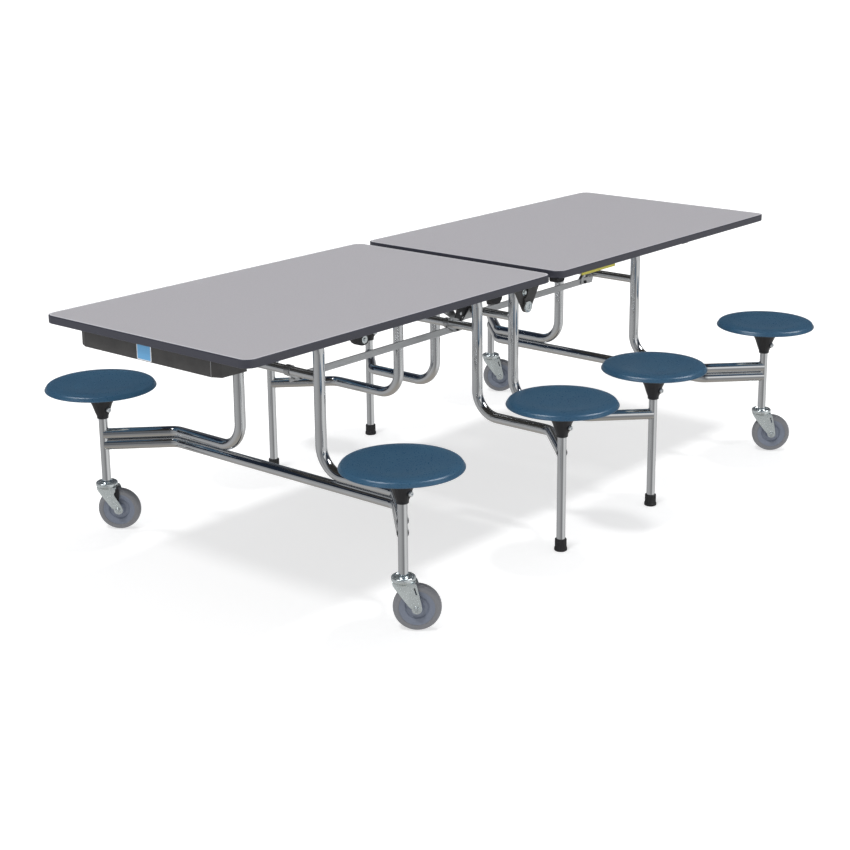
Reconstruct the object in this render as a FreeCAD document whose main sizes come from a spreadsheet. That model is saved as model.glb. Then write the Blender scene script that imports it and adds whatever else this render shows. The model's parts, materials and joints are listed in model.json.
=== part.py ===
import FreeCAD, Part
import math
import os
from FreeCAD import Placement, Rotation, Vector

# Folding mobile table with eight attached swivel stools.
# Origin: centre of the table on the floor. X: length, Y: width, Z: up. Millimetres.
# Frames a, b, c, d stand from -X to +X; "near" is -Y and "far" is +Y.

doc = FreeCAD.newDocument("folding_stool_table")

# ---------------------------------------------------------------- dimensions
dims = doc.addObject("Spreadsheet::Sheet", "dims")
DIMENSIONS = [
    # tops
    ("top_height", 737.0),
    ("top_thickness", 22.0),
    ("top_half_width", 381.0),
    ("top_inner_x", 18.0),
    ("top_outer_x", 1237.2),
    ("top_corner_radius", 32.0),
    ("band_thickness", 3.0),
    ("band_round", 2.6),
    # frames
    ("tube_od", 31.75),
    ("tube_wall", 1.6),
    ("post_od", 25.4),
    ("post_wall", 1.6),
    ("leg_half_spacing", 156.0),
    ("outer_leg_x", 766.0),
    ("inner_leg_x", 89.0),
    ("outer_post_x", 914.4),
    ("inner_post_x", 235.0),
    ("post_y", 572.5),
    ("rail_z", 697.0),
    ("arm_z", 290.0),
    ("lower_tube_z", 258.1),
    ("cross_tube_z", 555.0),
    ("leg_bend_radius", 76.0),
    ("arm_bend_radius", 45.0),
    ("post_top_z", 385.0),
    ("post_bottom_caster_z", 146.0),
    ("post_bottom_foot_z", 5.0),
    # saddles under the tops
    ("saddle_width", 30.0),
    ("saddle_y", 52.0),
    ("saddle_wall", 3.0),
    ("saddle_flange", 38.0),
    ("rail_clearance", 0.1),
    # stool hub
    ("hub_bottom_z", 338.0),
    ("hub_collar_radius", 16.5),
    ("hub_mid_z", 377.0),
    ("hub_mid_radius", 28.0),
    ("hub_top_z", 418.0),
    ("hub_top_radius", 42.0),
    ("hub_screw_z", 367.0),
    ("hub_screw_radius", 4.0),
    ("hub_screw_head", 7.0),
    ("hub_screw_face", 25.5),
    ("hub_screw_turn", -90.0),
    ("view_turn", -52.477),
    # seat
    ("seat_radius", 158.5),
    ("seat_crown_radius", 138.0),
    ("seat_shoulder_radius", 154.0),
    ("seat_under_radius", 116.0),
    ("seat_top_z", 447.0),
    ("seat_shoulder_z", 443.2),
    ("seat_rim_z", 434.5),
    ("seat_bottom_z", 421.5),
    ("seat_dish", 3.0),
    ("spindle_radius", 9.5),
    ("spindle_clearance", 0.05),
    ("spindle_bottom_z", 391.0),
    ("spindle_plate_radius", 62.0),
    ("spindle_plate_bottom_z", 418.5),
    # feet
    ("foot_flare_radius", 18.75),
    ("foot_radius", 17.0),
    ("foot_height", 35.0),
    # casters, local frame: x trail, y axle, z up
    ("wheel_radius", 62.0),
    ("tyre_half_width", 15.5),
    ("core_radius", 46.0),
    ("trail", 34.0),
    ("axle_radius", 6.0),
    ("fork_gap", 19.5),
    ("fork_plate", 3.0),
    ("fork_tip_radius", 13.0),
    ("fork_top_z", 131.0),
    ("head_radius", 31.5),
    ("head_top_z", 145.0),
    ("stem_top_z", 186.0),
    ("stem_clearance", 0.05),
    # centre hinge
    ("hinge_y", 271.0),
    ("hinge_plate", 5.0),
    ("hinge_half_span", 75.0),
    ("hinge_pivot_z", 622.0),
    ("hinge_tip_radius", 18.0),
    ("hinge_pin_radius", 8.0),
    ("hinge_head_radius", 17.5),
    ("stop_x", -11.0),
    ("stop_z", 666.0),
    # link bars
    ("link_left_y", -45.0),
    ("link_right_y", 27.0),
    ("link_height", 20.0),
    ("link_thickness", 5.0),
    ("link_z", 531.7),
    ("link_tail", 64.0),
    ("link_bolt_x", 37.0),
    ("link_bolt_z", 529.0),
    ("collar_width", 18.0),
    ("collar_wall", 2.6),
    ("collar_clearance", 0.3),
    ("strap_width", 12.0),
    # centre brackets
    ("bracket_y", -24.5),
    ("bracket_thickness", 5.0),
    ("lug_thickness", 3.0),
    # apron under the left end
    ("apron_front_x", -1221.0),
    ("apron_back_x", -1130.0),
    ("apron_face_half", 236.0),
    ("apron_half_width", 265.0),
    ("apron_height", 45.5),
    ("apron_wall", 3.0),
]
for row_number, (alias, value) in enumerate(DIMENSIONS, start=1):
    dims.set("A%d" % row_number, alias)
    dims.set("B%d" % row_number, repr(value))
    dims.setAlias("B%d" % row_number, alias)
doc.recompute()


def size(alias):
    return float(dims.get(alias))


UNDERSIDE = "(dims.top_height - dims.top_thickness)"
nodes = []


def node(obj, label):
    """Registers an object as a named piece of the table."""
    obj.Label = label
    nodes.append(obj)
    return obj


# ---------------------------------------------------------------- helpers
def put(obj, x="0", y="0", z="0", turn=None):
    obj.Placement = Placement(Vector(0, 0, 0), turn or Rotation())
    for key, expression in (("x", x), ("y", y), ("z", z)):
        obj.setExpression("Placement.Base." + key, str(expression))
    return obj


ALONG_Y = Rotation(Vector(1, 0, 0), -90)
ALONG_X = Rotation(Vector(0, 1, 0), 90)


def cylinder(name, radius, length, x="0", y="0", z="0", turn=None):
    obj = doc.addObject("Part::Cylinder", name)
    obj.setExpression("Radius", str(radius))
    obj.setExpression("Height", str(length))
    return put(obj, x, y, z, turn)


def box(name, length, width, height, x="0", y="0", z="0", turn=None):
    obj = doc.addObject("Part::Box", name)
    obj.setExpression("Length", str(length))
    obj.setExpression("Width", str(width))
    obj.setExpression("Height", str(height))
    return put(obj, x, y, z, turn)


def cut(name, base, tool):
    obj = doc.addObject("Part::Cut", name)
    obj.Base = base
    obj.Tool = tool
    return obj


def fuse(name, shapes):
    obj = doc.addObject("Part::MultiFuse", name)
    obj.Shapes = shapes
    obj.Refine = True
    return obj


def group(name, links):
    obj = doc.addObject("Part::Compound", name)
    obj.Links = links
    return obj


def plane_of(body, role):
    for feature in body.Origin.OriginFeatures:
        if feature.Role == role:
            return feature
    raise RuntimeError(role)


def outline(body, name, role, points):
    """Closed outline through points given as sheet expressions (u, v)."""
    sketch = body.newObject("Sketcher::SketchObject", name)
    sketch.AttachmentSupport = [(plane_of(body, role), "")]
    sketch.MapMode = "FlatFace"
    import Sketcher

    values = [(evaluate(u), evaluate(v)) for u, v in points]
    count = len(points)
    for i in range(count):
        a, b = values[i], values[(i + 1) % count]
        sketch.addGeometry(
            Part.LineSegment(Vector(a[0], a[1], 0), Vector(b[0], b[1], 0)), False
        )
    for i in range(count):
        sketch.addConstraint(
            Sketcher.Constraint("Coincident", i, 2, (i + 1) % count, 1)
        )
    for i, (u, v) in enumerate(points):
        for kind, expression, value in (
            ("DistanceX", u, values[i][0]),
            ("DistanceY", v, values[i][1]),
        ):
            if abs(value) < 1e-9:
                # a point on an axis of the sketch
                sketch.addConstraint(
                    Sketcher.Constraint(
                        "PointOnObject", i, 1, -2 if kind == "DistanceX" else -1
                    )
                )
                continue
            index = sketch.addConstraint(
                Sketcher.Constraint(kind, -1, 1, i, 1, value)
            )
            sketch.setExpression("Constraints[%d]" % index, str(expression))
    return sketch


def evaluate(expression):
    text = str(expression)
    return float(dims.evalExpression(text.replace("dims.", "")))


def revolved(name, points, role="XZ_Plane", axis="V_Axis"):
    """Body turned from an outline of (radius, height) points."""
    body = doc.addObject("PartDesign::Body", name)
    sketch = outline(body, name + "_outline", role, points)
    turn = body.newObject("PartDesign::Revolution", name + "_turn")
    turn.Profile = sketch
    turn.ReferenceAxis = (sketch, [axis])
    turn.Angle = 360
    doc.recompute()
    return body


def padded(name, points, length, role="XY_Plane", midplane=False, reverse=False):
    body = doc.addObject("PartDesign::Body", name)
    sketch = outline(body, name + "_outline", role, points)
    pad = body.newObject("PartDesign::Pad", name + "_pad")
    pad.Profile = sketch
    pad.setExpression("Length", str(length))
    if midplane:
        pad.Midplane = True
    if reverse:
        pad.Reversed = True
    doc.recompute()
    return body


def rounded(body, name, test, radius):
    """Fillet on the body's tip, on the edges that the test picks."""
    tip = body.Tip
    names = [
        "Edge%d" % (i + 1) for i, edge in enumerate(tip.Shape.Edges) if test(edge)
    ]
    if not names:
        raise RuntimeError("no edge for " + name)
    fillet = body.newObject("PartDesign::Fillet", name)
    fillet.Base = (tip, names)
    fillet.setExpression("Radius", str(radius))
    doc.recompute()
    return fillet


def ring_at(radius, height):
    """Picks circles of one radius at one height (before the body is placed)."""

    def test(edge):
        curve = edge.Curve
        return (
            isinstance(curve, Part.Circle)
            and abs(curve.Radius - radius) < 1e-3
            and abs(edge.CenterOfMass.z - height) < 1e-3
        )

    return test


# ---------------------------------------------------------------- bent tubes
def bent_path(points, radii):
    """Straight runs joined by tangent arcs."""
    edges = []
    start = points[0]
    for i in range(1, len(points) - 1):
        corner = points[i]
        before = (corner - points[i - 1]).normalize()
        after = (points[i + 1] - corner).normalize()
        half = before.getAngle(after) / 2
        reach = radii[i - 1] * math.tan(half)
        first = corner - before * reach
        last = corner + after * reach
        inward = (after - before).normalize()
        middle = corner + inward * (radii[i - 1] / math.cos(half) - radii[i - 1])
        edges.append(Part.LineSegment(start, first).toShape())
        edges.append(Part.Arc(first, middle, last).toShape())
        start = last
    edges.append(Part.LineSegment(start, points[-1]).toShape())
    return Part.Wire(edges)


def rod(points, radii, radius):
    path = bent_path(points, radii)
    direction = (points[1] - points[0]).normalize()
    ring = Part.Wire([Part.Circle(points[0], direction, radius).toShape()])
    solid = path.makePipeShell([ring], True, True)
    expected = math.pi * radius**2 * path.Length
    if abs(solid.Volume - expected) > 0.01 * expected:
        raise RuntimeError("bent tube volume")
    return solid


def bent_tube(name, points, radii, posts):
    """Hollow tube, its two ends coped onto the stool posts."""
    outer = size("tube_od") / 2
    solid = rod(points, radii, outer)
    solid = solid.cut(rod(points, radii, outer - size("tube_wall")))
    for post in posts:
        solid = solid.cut(
            Part.makeCylinder(
                size("post_od") / 2, 200, Vector(post[0], post[1], points[0].z - 100)
            )
        )
    if len(solid.Solids) != 1:
        solid = max(solid.Solids, key=lambda piece: piece.Volume)
    else:
        solid = solid.Solids[0]
    feature = doc.addObject("Part::Feature", name)
    feature.Shape = solid
    feature.Placement = Placement()
    return feature


def leg_frame(letter, side, leg_alias, post_alias, casters):
    """One of the four stool frames."""
    leg_x = side * size(leg_alias)
    post_x = side * size(post_alias)
    post_y = size("post_y")
    bend_y = post_y - abs(post_x - leg_x)
    half = size("leg_half_spacing")
    posts = [(post_x, -post_y), (post_x, post_y)]
    prefix = "frame_%s" % letter
    sign = "-" if side < 0 else ""
    leg_expression = sign + "dims." + leg_alias
    post_expression = sign + "dims." + post_alias

    # arms, legs and top rail in one bent tube
    arm, rail = size("arm_z"), size("rail_z")
    points = [
        Vector(post_x, -post_y, arm),
        Vector(leg_x, -bend_y, arm),
        Vector(leg_x, -half, arm),
        Vector(leg_x, -half, rail),
        Vector(leg_x, half, rail),
        Vector(leg_x, half, arm),
        Vector(leg_x, bend_y, arm),
        Vector(post_x, post_y, arm),
    ]
    small, large = size("arm_bend_radius"), size("leg_bend_radius")
    node(
        bent_tube(
            prefix + "_tube", points, [small, large, large, large, large, small], posts
        ),
        prefix + "_tube",
    )

    # lower cross tube, post to post, under the arms
    if casters:
        low = size("lower_tube_z")
        points = [
            Vector(post_x, -post_y, low),
            Vector(leg_x, -bend_y, low),
            Vector(leg_x, bend_y, low),
            Vector(post_x, post_y, low),
        ]
        node(
            bent_tube(prefix + "_lower_tube", points, [small, small], posts),
            prefix + "_lower_tube",
        )

    # cross tube between the legs, coped at both ends
    blank = cylinder(
        prefix + "_cross_blank",
        "dims.post_od / 2",
        "2 * dims.leg_half_spacing",
        leg_expression,
        "-dims.leg_half_spacing",
        "dims.cross_tube_z",
        ALONG_Y,
    )
    hole = cylinder(
        prefix + "_cross_bore",
        "dims.post_od / 2 - dims.post_wall",
        "2 * dims.leg_half_spacing",
        leg_expression,
        "-dims.leg_half_spacing",
        "dims.cross_tube_z",
        ALONG_Y,
    )
    legs = [
        cylinder(
            prefix + "_cope_%s" % tag,
            "dims.tube_od / 2",
            "100",
            leg_expression,
            "%sdims.leg_half_spacing" % mark,
            "dims.cross_tube_z - 50",
        )
        for tag, mark in (("near", "-"), ("far", ""))
    ]
    node(
        cut(
            prefix + "_cross_tube",
            blank,
            fuse(prefix + "_cross_tools", [hole] + legs),
        ),
        prefix + "_cross_tube",
    )

    # stool posts
    bottom = "dims.post_bottom_caster_z" if casters else "dims.post_bottom_foot_z"
    post_tubes = []
    for tag, mark in (("near", "-"), ("far", "")):
        solid = cylinder(
            "%s_post_%s_blank" % (prefix, tag),
            "dims.post_od / 2",
            "dims.post_top_z - " + bottom,
            post_expression,
            mark + "dims.post_y",
            bottom,
        )
        bore = cylinder(
            "%s_post_%s_bore" % (prefix, tag),
            "dims.post_od / 2 - dims.post_wall",
            "dims.post_top_z - " + bottom,
            post_expression,
            mark + "dims.post_y",
            bottom,
        )
        post_tubes.append(cut("%s_post_%s" % (prefix, tag), solid, bore))
    node(group(prefix + "_posts", post_tubes), prefix + "_posts")

    # stool hubs and their set screws
    hubs, screws = [], []
    for tag, mark in (("near", "-"), ("far", "")):
        hub_name = "%s_hub_%s" % (prefix, tag)
        hub_body = revolved(
            hub_name + "_body",
            [
                ("dims.post_od / 2", "dims.hub_bottom_z"),
                ("dims.hub_collar_radius", "dims.hub_bottom_z"),
                ("dims.hub_collar_radius + 1", "dims.hub_bottom_z + 9"),
                ("dims.hub_mid_radius", "dims.hub_mid_z"),
                ("dims.hub_top_radius", "dims.hub_top_z - 9"),
                ("dims.hub_top_radius", "dims.hub_top_z"),
                ("dims.spindle_radius + dims.spindle_clearance", "dims.hub_top_z"),
                (
                    "dims.spindle_radius + dims.spindle_clearance",
                    "dims.post_top_z",
                ),
                ("dims.post_od / 2", "dims.post_top_z"),
            ],
        )
        put(hub_body, post_expression, mark + "dims.post_y", "0")
        spin = Rotation(Vector(0, 0, 1), size("hub_screw_turn"))
        sideways = spin.multiply(ALONG_X)
        cosine = "cos(dims.hub_screw_turn * 1 deg)"
        sine = "sin(dims.hub_screw_turn * 1 deg)"

        def radial(name, radius, start, length):
            return cylinder(
                name,
                radius,
                length,
                "%s + (%s) * %s" % (post_expression, start, cosine),
                "%sdims.post_y + (%s) * %s" % (mark, start, sine),
                "dims.hub_screw_z",
                sideways,
            )

        tools = fuse(
            hub_name + "_screw_seat",
            [
                radial(hub_name + "_screw_hole", "dims.hub_screw_radius", "5", "40"),
                radial(
                    hub_name + "_spot_face",
                    "dims.hub_screw_head + 0.5",
                    "dims.hub_screw_face",
                    "20",
                ),
            ],
        )
        hubs.append(cut(hub_name, hub_body, tools))
        screws.append(
            fuse(
                hub_name + "_screw",
                [
                    radial(
                        hub_name + "_screw_shank",
                        "dims.hub_screw_radius",
                        "dims.post_od / 2 + 0.3",
                        "dims.hub_screw_face - dims.post_od / 2",
                    ),
                    radial(
                        hub_name + "_screw_cap",
                        "dims.hub_screw_head",
                        "dims.hub_screw_face",
                        "7",
                    ),
                ],
            )
        )
    node(group(prefix + "_stool_hubs", hubs), prefix + "_stool_hubs")
    node(group(prefix + "_hub_screws", screws), prefix + "_hub_screws")

    # rubber feet under the inner posts
    if not casters:
        feet = []
        for tag, mark in (("near", "-"), ("far", "")):
            foot = revolved(
                "%s_foot_%s" % (prefix, tag),
                [
                    ("0", "0"),
                    ("dims.foot_flare_radius - 2", "0"),
                    ("dims.foot_flare_radius", "2"),
                    ("dims.foot_flare_radius", "8"),
                    ("dims.foot_radius", "13"),
                    ("dims.foot_radius", "dims.foot_height - 1.5"),
                    ("dims.foot_radius - 1.5", "dims.foot_height"),
                    ("dims.post_od / 2", "dims.foot_height"),
                    ("dims.post_od / 2", "dims.post_bottom_foot_z"),
                    ("0", "dims.post_bottom_foot_z"),
                ],
            )
            feet.append(put(foot, post_expression, mark + "dims.post_y", "0"))
        node(group(prefix + "_feet", feet), prefix + "_feet")

    # seats with their spindles
    for tag, mark in (("near", "-"), ("far", "")):
        seat_name = "seat_%s_%s" % (letter, tag)
        shell = revolved(
            seat_name + "_shell",
            [
                ("0", "dims.seat_bottom_z"),
                ("dims.seat_under_radius", "dims.seat_bottom_z"),
                ("dims.seat_radius - 5", "dims.seat_rim_z - 3.4"),
                ("dims.seat_radius", "dims.seat_rim_z - 0.5"),
                ("dims.seat_radius", "dims.seat_rim_z + 1.5"),
                ("dims.seat_shoulder_radius", "dims.seat_shoulder_z"),
                ("dims.seat_crown_radius", "dims.seat_top_z"),
                ("dims.seat_crown_radius - 14", "dims.seat_top_z"),
                ("dims.seat_crown_radius - 48", "dims.seat_top_z - 0.6 * dims.seat_dish"),
                ("0", "dims.seat_top_z - dims.seat_dish"),
            ],
        )
        rounded(
            shell,
            seat_name + "_shoulder_round",
            ring_at(size("seat_shoulder_radius"), size("seat_shoulder_z")),
            "7",
        )
        put(shell, post_expression, mark + "dims.post_y", "0")
        spindle = fuse(
            seat_name + "_spindle",
            [
                cylinder(
                    seat_name + "_shaft",
                    "dims.spindle_radius",
                    "dims.seat_bottom_z - dims.spindle_bottom_z",
                    post_expression,
                    mark + "dims.post_y",
                    "dims.spindle_bottom_z",
                ),
                cylinder(
                    seat_name + "_plate",
                    "dims.spindle_plate_radius",
                    "dims.seat_bottom_z - dims.spindle_plate_bottom_z",
                    post_expression,
                    mark + "dims.post_y",
                    "dims.spindle_plate_bottom_z",
                ),
            ],
        )
        node(group(seat_name, [shell, spindle]), seat_name)

    # casters under the outer posts
    if casters:
        for tag, mark in (("near", "-"), ("far", "")):
            caster(letter, tag, post_expression, mark + "dims.post_y")


# ---------------------------------------------------------------- casters
def caster(letter, tag, x, y):
    """Swivel caster, built in its own frame and turned to trail in one direction."""
    name = "caster_%s_%s" % (letter, tag)
    braked = letter == "a" and tag == "far"
    turn = Rotation(Vector(0, 0, 1), size("view_turn"))

    # side plates: wide at the head, rounded at the axle
    plates = []
    for plate_tag, start in (
        ("inner", "dims.fork_gap"),
        ("outer", "-dims.fork_gap - dims.fork_plate"),
    ):
        plate = padded(
            "%s_plate_%s" % (name, plate_tag),
            [
                ("-dims.head_radius + 3", "dims.fork_top_z"),
                ("-dims.head_radius + 5", "dims.fork_top_z - 12"),
                (
                    "dims.trail - 0.93 * dims.fork_tip_radius",
                    "dims.wheel_radius - 0.36 * dims.fork_tip_radius",
                ),
                ("dims.trail", "dims.wheel_radius"),
                (
                    "dims.trail + 0.95 * dims.fork_tip_radius",
                    "dims.wheel_radius + 0.31 * dims.fork_tip_radius",
                ),
            ]
            + (
                [
                    ("21", "dims.fork_top_z - 23"),
                    ("27", "dims.fork_top_z - 12"),
                    ("27", "dims.fork_top_z"),
                ]
                if braked
                else [
                    ("40.5", "dims.fork_top_z - 31"),
                    ("34.5", "dims.fork_top_z - 3"),
                    ("31", "dims.fork_top_z"),
                ]
            ),
            "dims.fork_plate",
            role="XZ_Plane",
            reverse=True,
        )
        put(plate, "0", start, "0")
        plates.append(plate)
        plates.append(
            cylinder(
                "%s_tip_%s" % (name, plate_tag),
                "dims.fork_tip_radius",
                "dims.fork_plate",
                "dims.trail",
                start,
                "dims.wheel_radius",
                ALONG_Y,
            )
        )
    bridge = box(
        name + "_bridge",
        "dims.head_radius - 3 + 27",
        "2 * dims.fork_gap + 2 * dims.fork_plate",
        "4",
        "-dims.head_radius + 3",
        "-dims.fork_gap - dims.fork_plate",
        "dims.fork_top_z - 4",
    )
    head = revolved(
        name + "_head",
        [
            ("0", "dims.fork_top_z"),
            ("dims.head_radius - 2", "dims.fork_top_z"),
            ("dims.head_radius", "dims.fork_top_z + 2"),
            ("dims.head_radius", "dims.fork_top_z + 8"),
            ("dims.head_radius - 7", "dims.head_top_z"),
            ("0", "dims.head_top_z"),
        ],
    )
    stem = cylinder(
        name + "_stem",
        "dims.post_od / 2 - dims.post_wall - dims.stem_clearance",
        "dims.stem_top_z - dims.head_top_z + 2",
        "0",
        "0",
        "dims.head_top_z - 2",
    )
    axle = cylinder(
        name + "_axle",
        "dims.axle_radius",
        "2 * (dims.fork_gap + dims.fork_plate + 2)",
        "dims.trail",
        "-dims.fork_gap - dims.fork_plate - 2",
        "dims.wheel_radius",
        ALONG_Y,
    )
    nuts = [
        cylinder(
            "%s_nut_%s" % (name, nut_tag),
            "9",
            "4",
            "dims.trail",
            start,
            "dims.wheel_radius",
            ALONG_Y,
        )
        for nut_tag, start in (
            ("inner", "dims.fork_gap + dims.fork_plate"),
            ("outer", "-dims.fork_gap - dims.fork_plate - 4"),
        )
    ]
    fork = fuse(name + "_fork_solid", plates + [bridge, head, stem, axle] + nuts)
    if braked:
        hole = cylinder(
            name + "_brake_hole",
            "3.05",
            "10",
            "15",
            "-dims.fork_gap - dims.fork_plate - 3",
            "109",
            ALONG_Y,
        )
        fork = cut(name + "_fork_drilled", fork, hole)
    else:
        # slanted slot through both side plates
        slot = padded(
            name + "_slot",
            [
                ("30.79", "dims.fork_top_z - 12.80"),
                ("29.66", "dims.fork_top_z - 11.46"),
                ("27.90", "dims.fork_top_z - 11.31"),
                ("26.56", "dims.fork_top_z - 12.44"),
                ("26.41", "dims.fork_top_z - 14.20"),
                ("31.01", "dims.fork_top_z - 28.70"),
                ("32.14", "dims.fork_top_z - 30.04"),
                ("33.90", "dims.fork_top_z - 30.19"),
                ("35.24", "dims.fork_top_z - 29.06"),
                ("35.39", "dims.fork_top_z - 27.30"),
            ],
            "2 * (dims.fork_gap + dims.fork_plate + 2)",
            role="XZ_Plane",
            reverse=True,
        )
        put(slot, "0", "-dims.fork_gap - dims.fork_plate - 2", "0")
        fork = cut(name + "_fork_slotted", fork, slot)
    fork_node = group(name + "_fork", [fork])
    put(fork_node, x, y, "0", turn)
    node(fork_node, name + "_fork")

    core = revolved(
        name + "_core",
        [
            ("dims.axle_radius + 0.05", "-dims.fork_gap + 1"),
            ("17", "-dims.fork_gap + 1"),
            ("18", "-dims.fork_gap + 9"),
            ("dims.core_radius - 7", "-9"),
            ("dims.core_radius - 5", "-13"),
            ("dims.core_radius", "-13"),
            ("dims.core_radius", "13"),
            ("dims.core_radius - 5", "13"),
            ("dims.core_radius - 7", "9"),
            ("18", "dims.fork_gap - 9"),
            ("17", "dims.fork_gap - 1"),
            ("dims.axle_radius + 0.05", "dims.fork_gap - 1"),
        ],
    )
    tyre = revolved(
        name + "_tyre",
        [
            ("dims.core_radius", "-dims.tyre_half_width + 1"),
            ("dims.wheel_radius - 8", "-dims.tyre_half_width"),
            ("dims.wheel_radius - 3.5", "-dims.tyre_half_width + 2.5"),
            ("dims.wheel_radius - 1", "-dims.tyre_half_width + 7"),
            ("dims.wheel_radius", "-4"),
            ("dims.wheel_radius", "4"),
            ("dims.wheel_radius - 1", "dims.tyre_half_width - 7"),
            ("dims.wheel_radius - 3.5", "dims.tyre_half_width - 2.5"),
            ("dims.wheel_radius - 8", "dims.tyre_half_width"),
            ("dims.core_radius", "dims.tyre_half_width - 1"),
        ],
    )
    for body in (core, tyre):
        put(body, "dims.trail", "0", "dims.wheel_radius", ALONG_Y)
    wheel = group(name + "_wheel", [core, tyre])
    put(wheel, x, y, "0", turn)
    node(wheel, name + "_wheel")

    if braked:
        blade = padded(
            name + "_blade",
            [
                ("31.5", "138.5"),
                ("34.5", "139"),
                ("37", "128"),
                ("38.3", "115"),
                ("38", "103"),
                ("34.4", "84.4"),
                ("29", "96"),
                ("23", "103.5"),
                ("11", "103.5"),
                ("11", "114.5"),
                ("27", "114.5"),
                ("31", "125"),
            ],
            "2.6",
            role="XZ_Plane",
            reverse=True,
        )
        put(blade, "0", "-dims.fork_gap + 0.35", "0")
        pin = cylinder(
            name + "_brake_pin",
            "3",
            "5",
            "15",
            "-dims.fork_gap - dims.fork_plate + 0.2",
            "109",
            ALONG_Y,
        )
        lever = group("brake_lever_piece", [fuse("brake_lever_solid", [blade, pin])])
        put(lever, x, y, "0", turn)
        node(lever, "brake_lever")


leg_frame("a", -1, "outer_leg_x", "outer_post_x", True)
leg_frame("b", -1, "inner_leg_x", "inner_post_x", False)
leg_frame("c", 1, "inner_leg_x", "inner_post_x", False)
leg_frame("d", 1, "outer_leg_x", "outer_post_x", True)


# ---------------------------------------------------------------- half tops
def half_top(tag, side):
    sign = "-" if side < 0 else ""
    low_x = "-dims.top_outer_x" if side < 0 else "dims.top_inner_x"
    high_x = "-dims.top_inner_x" if side < 0 else "dims.top_outer_x"

    def slab(name, inset, radius):
        body = padded(
            name,
            [
                ("%s + %s" % (low_x, inset), "-dims.top_half_width + %s" % inset),
                ("%s - %s" % (high_x, inset), "-dims.top_half_width + %s" % inset),
                ("%s - %s" % (high_x, inset), "dims.top_half_width - %s" % inset),
                ("%s + %s" % (low_x, inset), "dims.top_half_width - %s" % inset),
            ],
            "dims.top_thickness",
        )
        rounded(
            body,
            name + "_corners",
            lambda edge: edge.BoundBox.ZLength > 1
            and edge.BoundBox.XLength < 0.01
            and edge.BoundBox.YLength < 0.01,
            radius,
        )
        return body

    panel = slab("top_panel_%s" % tag, "dims.band_thickness", "dims.top_corner_radius - dims.band_thickness")
    put(panel, "0", "0", UNDERSIDE)
    outer = slab("edge_band_%s_outer" % tag, "0", "dims.top_corner_radius")
    rounded(
        outer,
        "edge_band_%s_round" % tag,
        lambda edge: edge.BoundBox.ZLength < 0.01,
        "dims.band_round",
    )
    put(outer, "0", "0", UNDERSIDE)
    node(panel, "top_panel_%s" % tag)
    node(cut("edge_band_%s" % tag, outer, panel), "edge_band_%s" % tag)

    # saddles round the frames' top rails
    saddles = []
    for frame_tag, alias in (("outer", "outer_leg_x"), ("inner", "inner_leg_x")):
        for y_tag, mark in (("near", "-"), ("far", "")):
            base = "saddle_%s_%s_%s" % (tag, frame_tag, y_tag)
            x = sign + "dims." + alias
            start = "%sdims.saddle_y - dims.saddle_width / 2" % mark
            bore = "(dims.tube_od / 2 + dims.rail_clearance)"
            wall = "(%s + dims.saddle_wall)" % bore
            cheek = box(
                base + "_cheek",
                "2 * " + wall,
                "dims.saddle_width",
                "%s - dims.rail_z" % UNDERSIDE,
                "%s - %s" % (x, wall),
                start,
                "dims.rail_z",
            )
            strap = cylinder(
                base + "_strap", wall, "dims.saddle_width", x, start, "dims.rail_z", ALONG_Y
            )
            # the strap's crown is trimmed flush with the underside
            trim = box(
                base + "_trim",
                "2 * " + wall,
                "dims.saddle_width",
                "20",
                "%s - %s" % (x, wall),
                start,
                UNDERSIDE,
            )
            flange = box(
                base + "_flange",
                "2 * dims.saddle_flange",
                "dims.saddle_width",
                "3",
                "%s - dims.saddle_flange" % x,
                start,
                "%s - 3" % UNDERSIDE,
            )
            hollow = cylinder(
                base + "_bore", bore, "dims.saddle_width", x, start, "dims.rail_z", ALONG_Y
            )
            saddles.append(
                cut(
                    base,
                    fuse(base + "_solid", [cheek, strap, flange]),
                    fuse(base + "_tools", [hollow, trim]),
                )
            )
    if tag == "left":
        # centre bracket under the inner end of the left top
        web = padded(
            "centre_bracket_web",
            [
                ("-57", UNDERSIDE + " - 3"),
                ("-58", "573"),
                ("-15", "545"),
                ("-4", "540"),
                ("-2", "548"),
                ("-2", "562"),
                ("-14", "576"),
                ("-21", UNDERSIDE + " - 3"),
            ],
            "4",
            role="XZ_Plane",
            reverse=True,
        )
        put(web, "0", "-2", "0")
        foot = box("centre_bracket_foot", "36", "24", "3", "-57", "-12", UNDERSIDE + " - 3")
        saddles.append(fuse("centre_bracket", [web, foot]))
    node(group("pivot_saddles_%s" % tag, saddles), "pivot_saddles_%s" % tag)


half_top("left", -1)
half_top("right", 1)

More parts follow.
